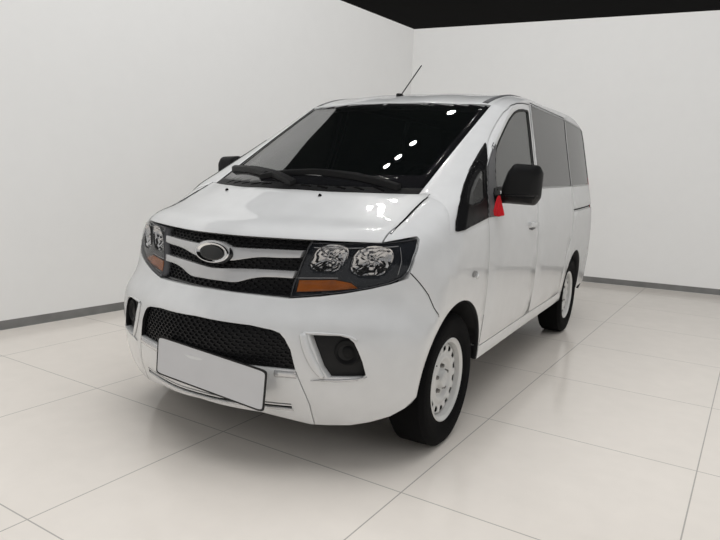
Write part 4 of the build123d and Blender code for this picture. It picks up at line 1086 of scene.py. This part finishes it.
MESH_BLACK = grained("grille plastic", (0.010, 0.010, 0.011), size=600, depth=0.0002, low=0.3,
                     high=0.45, specular=0.3)
honeycomb("upper_mesh", UPPER_HOLE, "front", ["grilles"], MESH_BLACK, wide=0.034, high=0.017,
          share=0.84, proud=0.009, deep=0.008)
honeycomb("lower_mesh", LOWER_HOLE, "front", ["grilles"], MESH_BLACK, wide=0.034, high=0.019,
          share=0.84, proud=0.008, deep=0.007)
ribbon("upper_frame", UPPER_HOLE, "front", ["grilles"], GLOSS_BLACK, "body", width=0.014,
       lift=0.012, closed=True, crown=0.004)
BADGE_WAY = (1, 0, 0.12)
badge = laid([(0.0, 0.922)], "front", ["grille_bars"])[0]
spun("badge_ring", [(0.070, 0.001), (0.078, 0.0045), (0.084, 0.0075), (0.089, 0.0085),
                    (0.093, 0.007), (0.0955, 0.001), (0.094, -0.006)], badge, BADGE_WAY, CHROME,
     "body", sides=96, squash=0.47)
spun("badge_field",
     [(0.0001, 0.0035), (0.030, 0.0032), (0.060, 0.0022), (0.076, 0.0010), (0.078, -0.004)], badge,
     BADGE_WAY, GLOSS_BLACK, "body", sides=96, squash=0.46)
spun("badge_pod", [(0.096, -0.002), (0.101, -0.006), (0.103, -0.018), (0.100, -0.040)], badge,
     BADGE_WAY, GLOSS_BLACK, "body", sides=96, squash=0.49)

# ------------------------------------------------------------------ bumper trims
bumper = ["front_bumper"]
for name, start, stop in (("left", 0.370, 0.456), ("right", -0.456, -0.205)):
    ribbon("lower_strip_" + name, [(start, 0.453), (stop, 0.453)], "front", bumper, SILVER, "body",
           width=0.030, lift=0.0015, crown=0.005)
# Painted shade: near-black bands where the lip's slots are.
for k, (z, wide) in enumerate([(0.300, 0.0105), (0.315, 0.0050)]):
    ribbon("lip_slot_%d" % k, [(y, z) for y in (-0.422, -0.2, 0, 0.2, 0.422)], "front", bumper,
           SEAM_SHADOW, "body", width=wide, lift=0.0010)
LIP_STRIP_Z = 0.2885
ribbon("lip_strip", [(y, LIP_STRIP_Z) for y in (-0.43, -0.2, 0, 0.2, 0.43)], "front", bumper,
       SILVER, "body", width=0.009, lift=0.0012, crown=0.002)


def fog_place():
    """Round blank in a dished ring, the painted blade beside it and edge over it, and the
    bright lip under it."""
    centre = laid([(0.632, 0.556)], "front", ["grilles"])[0]
    way = (0.92, 0.38, 0.0)
    made = [
        spun("fog_dish_left", [(0.0001, 0.004), (0.018, 0.0035), (0.026, 0.001), (0.029, -0.003),
                               (0.034, 0.000), (0.044, 0.008), (0.050, 0.011), (0.054, 0.009),
                               (0.056, 0.000)], centre, way, GLOSS_TRIM, "body", sides=64),
        ribbon("fog_blade_left", [(0.473, 0.632), (0.495, 0.560), (0.530, 0.490), (0.558, 0.447)],
               "front", bumper, PAINT, "body", width=0.036, lift=0.0015, crown=0.008,
               taper=(0.8, 1.0, 1.0, 0.5), round_off=1),
        ribbon("fog_top_left", [(0.475, 0.634), (0.560, 0.636), (0.645, 0.632), (0.676, 0.612)],
               "front", bumper, PAINT, "body", width=0.008, lift=0.0015, crown=0.004, round_off=1),
        ribbon("fog_lip_left",
               [(0.512, 0.434), (0.560, 0.438), (0.619, 0.441), (0.680, 0.449), (0.718, 0.462)],
               "front", bumper, SILVER, "body", width=0.013, lift=0.0015, crown=0.005,
               taper=(0.1, 0.9, 1.0, 1.0, 0.4)),
    ]
    for obj in made:
        pair(obj)


fog_place()

# ------------------------------------------------------------------ plates
PLATE_SIDES = 72


def plate(name, centre, wide, high, roll, way, body):
    """A blank plate with rounded corners and a pressed rim, a little pillowed at its edge, with a
    frame round it: corners follow a high power of cosine and sine."""
    t = circle(PLATE_SIDES)
    c, s = squarish(np.cos(t), 0.10), squarish(np.sin(t), 0.10)
    across = np.array([0, way, 0]) * math.cos(roll) + np.array([0, 0, 1]) * math.sin(roll)
    up = np.array([0, 0, 1]) * math.cos(roll) - np.array([0, way, 0]) * math.sin(roll)
    out = np.cross(across, up)

    def rings(rows):
        return np.vstack([np.asarray(centre) + (c * (wide / 2 - inset))[:, None] * across
                          + (s * (high / 2 - inset))[:, None] * up + out * lift
                          for inset, lift in rows])

    face = [(0.010, 0.0), (0.007, 0.0005), (0.004, 0.0005), (0.002, 0.0), (0.001, -0.002)]
    link_piece(name, rings(face),
               [list(range(PLATE_SIDES))] + quads(len(face), PLATE_SIDES).tolist(), PLATE, body,
               out=out, smooth=False)
    frame_rows = [(0.003, 0.0005), (0.001, 0.0008), (-0.003, 0.0008), (-0.004, 0.0002),
                  (-0.004, -0.006), (0.003, -0.006), (0.003, 0.0005)]
    link_piece(name + "_frame", rings(frame_rows), quads(len(frame_rows), PLATE_SIDES), BLACK, body,
               smooth=False)


plate("front_plate", (2.3089, 0.0805, 0.4235), wide=0.604, high=0.172, roll=math.radians(-4.6),
      way=1, body="body")
PLATE_BACK = 2.3055
for k, y in enumerate((-0.12, 0.20)):
    foot = laid([(y, 0.42)], "front", bumper)[0]
    spun("plate_foot_%d" % k, [(0.013, 0.0), (0.012, 0.001), (0.012, PLATE_BACK - foot[0])], foot,
         (1, 0, 0), BLACK, "body", sides=24)

# ------------------------------------------------------------------ handles and mirrors
def handle_bits():
    """Painted shade in the scoop behind the grip, as a tapered dark grey band, and the lock's dot.
    """
    door = ["front_door_left"]
    scoop = ribbon("handle_scoop_left", [(0.145, 0.9845), (0.223, 0.982), (0.300, 0.9865)], "left",
                   door, GREY_TRIM, "front_door_left", width=0.018, lift=0.0012,
                   taper=(0.3, 1.0, 0.3))
    lock_at = laid([(0.105, 1.010)], "left", door)[0]
    lock = spun("handle_lock_left",
                [(0.0001, 0.003), (0.006, 0.0028), (0.009, 0.001), (0.0095, -0.001)], lock_at,
                (0, 1, 0.05), SILVER, "front_door_left", sides=32)
    for obj in (scoop, lock):
        pair(obj)


handle_bits()


# Outlines on the left mirror, seen from ahead and from behind: how far left, and how high.
MIRROR_FOOT = [(0.902, 1.200), (0.985, 1.198), (1.074, 1.200), (1.054, 1.166), (0.985, 1.164),
               (0.902, 1.167)]
MIRROR_GLASS = [(0.915, 1.345), (0.942, 1.357), (1.058, 1.350), (1.073, 1.320), (1.071, 1.200),
                (1.048, 1.172), (0.905, 1.178), (0.902, 1.200)]


def mirror_bits():
    """The dark line that parts the mirror's cap from its foot, the foot's cover, and the glass
    at its back."""
    mirror = ["mirror_left"]
    line = ribbon("mirror_line_left", [(0.905, 1.208), (0.985, 1.206), (1.078, 1.208)], "front",
                  mirror, GLOSS_BLACK, "front_door_left", width=0.006, lift=0.0014, crown=0.001)
    cap = patch("mirror_foot_left", MIRROR_FOOT, "front", mirror, GLOSS_TRIM, "front_door_left",
                lift=0.0012, step=0.012)
    glass = patch("mirror_glass_left", MIRROR_GLASS, "rear", mirror, CHROME, "front_door_left",
                  lift=0.001, step=0.02, round_off=1)
    for obj in (line, cap, glass):
        pair(obj)


mirror_bits()

# ------------------------------------------------------------------ shells, seats, ribbon
def merged_copy(node, name):
    """A copy of a node's mesh with its doubles merged, as an object of its own."""
    mesh = nodes[node].data.copy()
    mesh.name = name
    work = bmesh.new()
    work.from_mesh(mesh)
    bmesh.ops.remove_doubles(work, verts=work.verts, dist=WELD)
    bmesh.ops.recalc_face_normals(work, faces=work.faces)
    work.to_mesh(mesh)
    work.free()
    return new_object(name, mesh)


def applied(obj):
    """Makes what the modifiers show the object's own mesh."""
    done = bpy.data.meshes.new_from_object(obj.evaluated_get(bpy.context.evaluated_depsgraph_get()))
    old = obj.data
    obj.modifiers.clear()
    obj.data = done
    bpy.data.meshes.remove(old)


def remeshed(obj, voxel):
    """An even mesh of the same form, with faces about as wide as a voxel."""
    grid = obj.modifiers.new("grid", "REMESH")
    grid.mode = "VOXEL"
    grid.voxel_size = voxel
    applied(obj)


def rounded_mirror(hand):
    """The mirror's shell with its edges rounded over: an even mesh, each point relaxed towards
    the mean of its neighbours."""
    obj = merged_copy("mirror_" + hand, "mirror_shell_" + hand)
    remeshed(obj, 0.005)
    relax = obj.modifiers.new("relax", "SMOOTH")
    relax.factor, relax.iterations = 0.5, 14
    applied(obj)
    dress(obj, BLACK)
    obj.data.shade_smooth()
    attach(obj, "front_door_" + hand)
    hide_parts("mirror_" + hand)


for hand in ("left", "right"):
    rounded_mirror(hand)

SEAT_CENTRES = [(0.290, 0.385), (0.290, -0.385), (-0.640, 0.235), (-0.640, -0.235), (-1.640, 0.235),
                (-1.640, -0.235)]
SEAT_VOXEL, SEAT_PUFF, CLOTH_STEPS = 0.016, 0.014, 20
# The sewn lines: how far each is from a seat's middle, how deep, and how wide.
SEWN_OFF, SEWN_DEEP, SEWN_WIDE = 0.13, 0.012, 0.012
SEAT_CLOTH = grained("woven seat cloth", (0.030, 0.031, 0.034), size=900, depth=0.0008, low=0.8,
                     high=0.95, spread=0.4)


def padded_seats():
    """The seats as blown-up cushions: an even mesh of the solid under a little inside pressure,
    held to 14 mm of movement, then sewn lines pressed in beside each seat's middle."""
    obj = merged_copy("seats", "seat_cushions")
    remeshed(obj, SEAT_VOXEL)
    start = read(obj.data.vertices, "co", 3)
    cloth = obj.modifiers.new("cloth", "CLOTH")
    cloth.settings.use_pressure = True
    cloth.settings.uniform_pressure_force = 4.0
    cloth.settings.effector_weights.gravity = 0.0
    cloth.settings.quality = 4
    cloth.point_cache.frame_start, cloth.point_cache.frame_end = 1, CLOTH_STEPS
    for step in range(1, CLOTH_STEPS + 1):
        SCENE.frame_set(step)
    applied(obj)
    SCENE.frame_set(1)
    move = read(obj.data.vertices, "co", 3) - start
    far = np.linalg.norm(move, axis=1)
    co = start + move * np.minimum(1, SEAT_PUFF / np.maximum(far, 1e-9))[:, None]
    normal = read(obj.data.vertices, "normal", 3)
    sink = np.zeros(len(co))
    for x, y in SEAT_CENTRES:
        near = (np.abs(co[:, 0] - x) < 0.42) & (np.abs(co[:, 1] - y) < 0.24)
        for line in (-SEWN_OFF, SEWN_OFF):
            sink = np.maximum(sink,
                              near * SEWN_DEEP * np.exp(-((co[:, 1] - y - line) / SEWN_WIDE) ** 2))
    face = (normal[:, 0] > 0.3) | (normal[:, 2] > 0.3)
    co = co - normal * (sink * face)[:, None]
    obj.data.vertices.foreach_set("co", co.ravel())
    obj.data.update()
    smooth = obj.modifiers.new("smooth", "SUBSURF")
    smooth.levels = smooth.render_levels = 1
    dress(obj, SEAT_CLOTH)
    obj.data.shade_smooth()
    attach(obj, "body")
    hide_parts("seats")


padded_seats()


def red_ribbon():
    """A short red ribbon tied at the mirror's foot: it hangs from a gathered neck and opens
    downwards, its width growing from 12 mm to 80 mm and its folds rippling as a sine that deepens
    towards the hem."""
    wide, long = 41, 33
    u, v = np.meshgrid(np.linspace(-1, 1, wide), np.linspace(0, 1, long), indexing="ij")
    half = 0.006 + 0.034 * v ** 0.8
    ripple = 0.0045 * v * np.sin(u * 3.2 * np.pi + 0.6) + 0.0015 * np.sin(5 * v + 3 * u)
    x = 0.974 + 0.024 * v - 0.80 * u * half + 0.60 * ripple
    y = 0.886 + 0.012 * v + 0.60 * u * half + 0.80 * ripple
    z = 1.200 - 0.104 * v - 0.005 * v * np.cos(u * 2.5)
    points = np.column_stack([x.ravel(), y.ravel(), z.ravel()])
    obj = link_piece("red_ribbon", points, quads(wide, long, closed=False), RED_CLOTH,
                     "front_door_left", out=(0, 1, 0))
    give_wall(obj, 0.0008)


red_ribbon()

# ------------------------------------------------------------------ wheels
# The turned face of the steel disc: radius and how far out it stands from the wheel's middle.
FACE = [(0.1770, 0.034), (0.1745, 0.044), (0.1700, 0.0525), (0.1640, 0.0575), (0.1600, 0.0588),
        (0.1565, 0.0594), (0.1450, 0.0598), (0.1415, 0.0592), (0.1370, 0.0580), (0.1290, 0.0560),
        (0.1210, 0.0585), (0.1130, 0.0625), (0.1040, 0.0635), (0.0960, 0.0600), (0.0880, 0.0520),
        (0.0800, 0.0475), (0.0700, 0.0465), (0.0560, 0.0468), (0.0480, 0.0500), (0.0440, 0.0600),
        (0.0410, 0.0690), (0.0360, 0.0725), (0.0300, 0.0735), (0.0290, 0.0715), (0.0150, 0.0725),
        (0.0010, 0.0730)]
SLOT_COUNT = 14
SLOT_FACES = 16             # faces from one slot to the next, round the disc
SLOT_RADIUS = 0.1508
NUT_COUNT, NUT_CIRCLE, NUT_SEAT = 5, 0.0640, 0.0470
VALVE_ANGLE, VALVE_CIRCLE, VALVE_SEAT = math.radians(38), 0.171, 0.050
# Radius, and distance out along the axis, of a wheel nut and of a valve.
NUT = [(0.0001, 0.016), (0.006, 0.0155), (0.009, 0.013), (0.0095, 0.004), (0.012, 0.001),
       (0.0125, -0.003)]
VALVE = [(0.0001, 0.030), (0.003, 0.029), (0.0036, 0.012), (0.005, 0.009), (0.006, -0.004)]


def wheel_face(name, x, side, body):
    """The disc's outer face with a ring of rounded slots near its edge. Faces of the turned shape
    are left out round each slot's middle: four to each side where a row is within 10 mm of the
    ring that the slots lie on, three to each side where it is within 12.5 mm."""
    profile = np.asarray(FACE)
    sides = SLOT_COUNT * SLOT_FACES
    turn = circle(sides)
    points = np.stack([x + profile[:, :1] * np.cos(turn),
                       np.repeat(side * (WHEEL_Y + profile[:, 1:]), sides, axis=1),
                       AXLE_Z + profile[:, :1] * np.sin(turn)], axis=2).reshape(-1, 3)
    off = np.abs((np.arange(sides)[None, :] + 0.5) % SLOT_FACES - SLOT_FACES / 2)
    radius = (profile[:-1, 0] + profile[1:, 0])[:, None] / 2
    beside = np.abs(radius - SLOT_RADIUS)
    slot = (off < 4) & (beside < 0.010) | (off < 3) & (beside < 0.0125)
    faces = quads(len(profile), sides)[~slot.ravel()]
    link_piece("wheel_face_" + name, points, faces, WHEEL_SILVER, body, wall=0.0025,
               out=(0, side, 0))
    # Painted shade: a near-black ring just behind the slots, seen through them.
    spun("wheel_shade_" + name,
         [(0.1660, 0.0500), (0.1570, 0.0545), (0.1440, 0.0550), (0.1370, 0.0525)],
         (x, side * WHEEL_Y, AXLE_Z), (0, side, 0), SEAM_SHADOW, body, sides=96)


def wheel_bits(name, x, side, body):
    """Five nuts on the disc and a valve by the rim."""
    wheel_face(name, x, side, body)
    y = side * (WHEEL_Y + NUT_SEAT)
    for k in range(NUT_COUNT):
        a = math.radians(90 + 360 / NUT_COUNT * k)
        spot = (x + NUT_CIRCLE * math.cos(a), y, AXLE_Z + NUT_CIRCLE * math.sin(a))
        spun("nut_%s_%d" % (name, k), NUT, spot, (0, side, 0), STEEL, body, sides=24, flutes=6,
             flute_depth=0.05)
    a = VALVE_ANGLE
    valve = (x + VALVE_CIRCLE * math.cos(a), side * (WHEEL_Y + VALVE_SEAT),
             AXLE_Z + VALVE_CIRCLE * math.sin(a))
    spun("valve_" + name, VALVE, valve, (-0.5 * math.cos(a), side * 0.8, -0.5 * math.sin(a)), BLACK,
         body, sides=16)


for name, x, side in (("front_left", FRONT_AXLE, 1), ("front_right", FRONT_AXLE, -1),
                      ("rear_left", REAR_AXLE, 1), ("rear_right", REAR_AXLE, -1)):
    wheel_bits(name, x, side, "wheel_" + name)

# ------------------------------------------------------------------ tail
gate = ["tailgate"]
gate_glass = ["tailgate_glass", "tailgate"]
GATE_GLASS = [(-0.585, 1.262), (0.585, 1.262), (0.540, 1.690), (-0.540, 1.690)]
ribbon("tailgate_border", GATE_GLASS, "rear", gate_glass, GLOSS_BLACK, "tailgate", width=0.040,
       lift=0.0012, closed=True)
ribbon("tailgate_garnish", [(-0.34, 0.985), (0, 0.992), (0.34, 0.985)], "rear", gate, SILVER,
       "tailgate", width=0.034, lift=0.002, crown=0.012, taper=(0.7, 1.0, 0.7))
patch("rear_plate_recess", [(-0.29, 0.955), (0.29, 0.955), (0.31, 0.790), (-0.31, 0.790)], "rear",
      gate, BLACK, "tailgate", lift=0.0012)
spot = laid([(0.0, 0.872)], "rear", gate)[0]
plate("rear_plate", (spot[0] - 0.006, 0.0, 0.872), wide=0.500, high=0.115, roll=0.0, way=-1,
      body="tailgate")
ribbon("high_lamp", [(-0.13, 1.722), (0, 1.724), (0.13, 1.722)], "rear", gate, RED_LENS, "tailgate",
       width=0.018, lift=0.002, crown=0.005)


TAIL_CLEAR = grained("clear tail lens", (0.82, 0.82, 0.82), size=260, depth=0.0003, low=0.06,
                     high=0.12, coat=0.5)


def tail_details():
    """Inner bands of each tail lamp: a clear one, an amber one and a dark edge."""
    lamp = ["tail_lamps"]
    made = [
        patch("tail_clear_left", [(0.735, 1.075), (0.820, 1.080), (0.820, 1.015), (0.733, 1.010)],
              "rear", lamp, TAIL_CLEAR, "body", lift=0.0015, step=0.012),
        patch("tail_amber_left", [(0.733, 1.000), (0.820, 1.005), (0.820, 0.950), (0.731, 0.945)],
              "rear", lamp, AMBER, "body", lift=0.0015, step=0.012),
        ribbon("tail_edge_left", [(0.728, 1.322), (0.728, 1.100), (0.726, 0.870)], "rear", lamp,
               CHROME, "body", width=0.005, lift=0.0015, crown=0.002),
        ribbon("rear_reflector_left", [(0.55, 0.455), (0.62, 0.457), (0.70, 0.462)], "rear",
               ["rear_bumper"], RED_LENS, "body", width=0.032, lift=0.0015, crown=0.003,
               taper=(0.8, 1.0, 0.8)),
    ]
    for obj in made:
        pair(obj)


tail_details()
side_lamp = laid([(1.283, 0.809)], "left", ["front_fenders"])[0]
pair(spun("side_lamp_left",
          [(0.0001, 0.008), (0.010, 0.0075), (0.018, 0.005), (0.022, 0.001), (0.023, -0.003)],
          side_lamp, (0, 1, 0), TAIL_CLEAR, "body", sides=40, squash=0.62))


def rear_wiper():
    """A short arm from its dome below the window, with a rubber along the glass."""
    foot = laid([(0.0, 1.215)], "rear", gate)[0]
    spun("rear_wiper_dome", [(0.0001, 0.018), (0.012, 0.016), (0.020, 0.009), (0.023, -0.002)],
         foot, (-1, 0, 0.05), BLACK, "tailgate", sides=40)
    line = laid(fine([(0.0, 1.215), (0.12, 1.262), (0.24, 1.300)], 0.03), "rear", gate_glass, 0.014)
    tube("rear_wiper_arm", line, 0.0055, BLACK, "tailgate")
    blade = laid(fine([(0.06, 1.290), (0.42, 1.292)], 0.04), "rear", gate_glass, 0.007)
    tube("rear_wiper_blade", blade, 0.0050, BLACK, "tailgate")


rear_wiper()

# ------------------------------------------------------------------ end
for target in TARGETS.values():
    mesh = target.data
    bpy.data.objects.remove(target)
    bpy.data.meshes.remove(mesh)
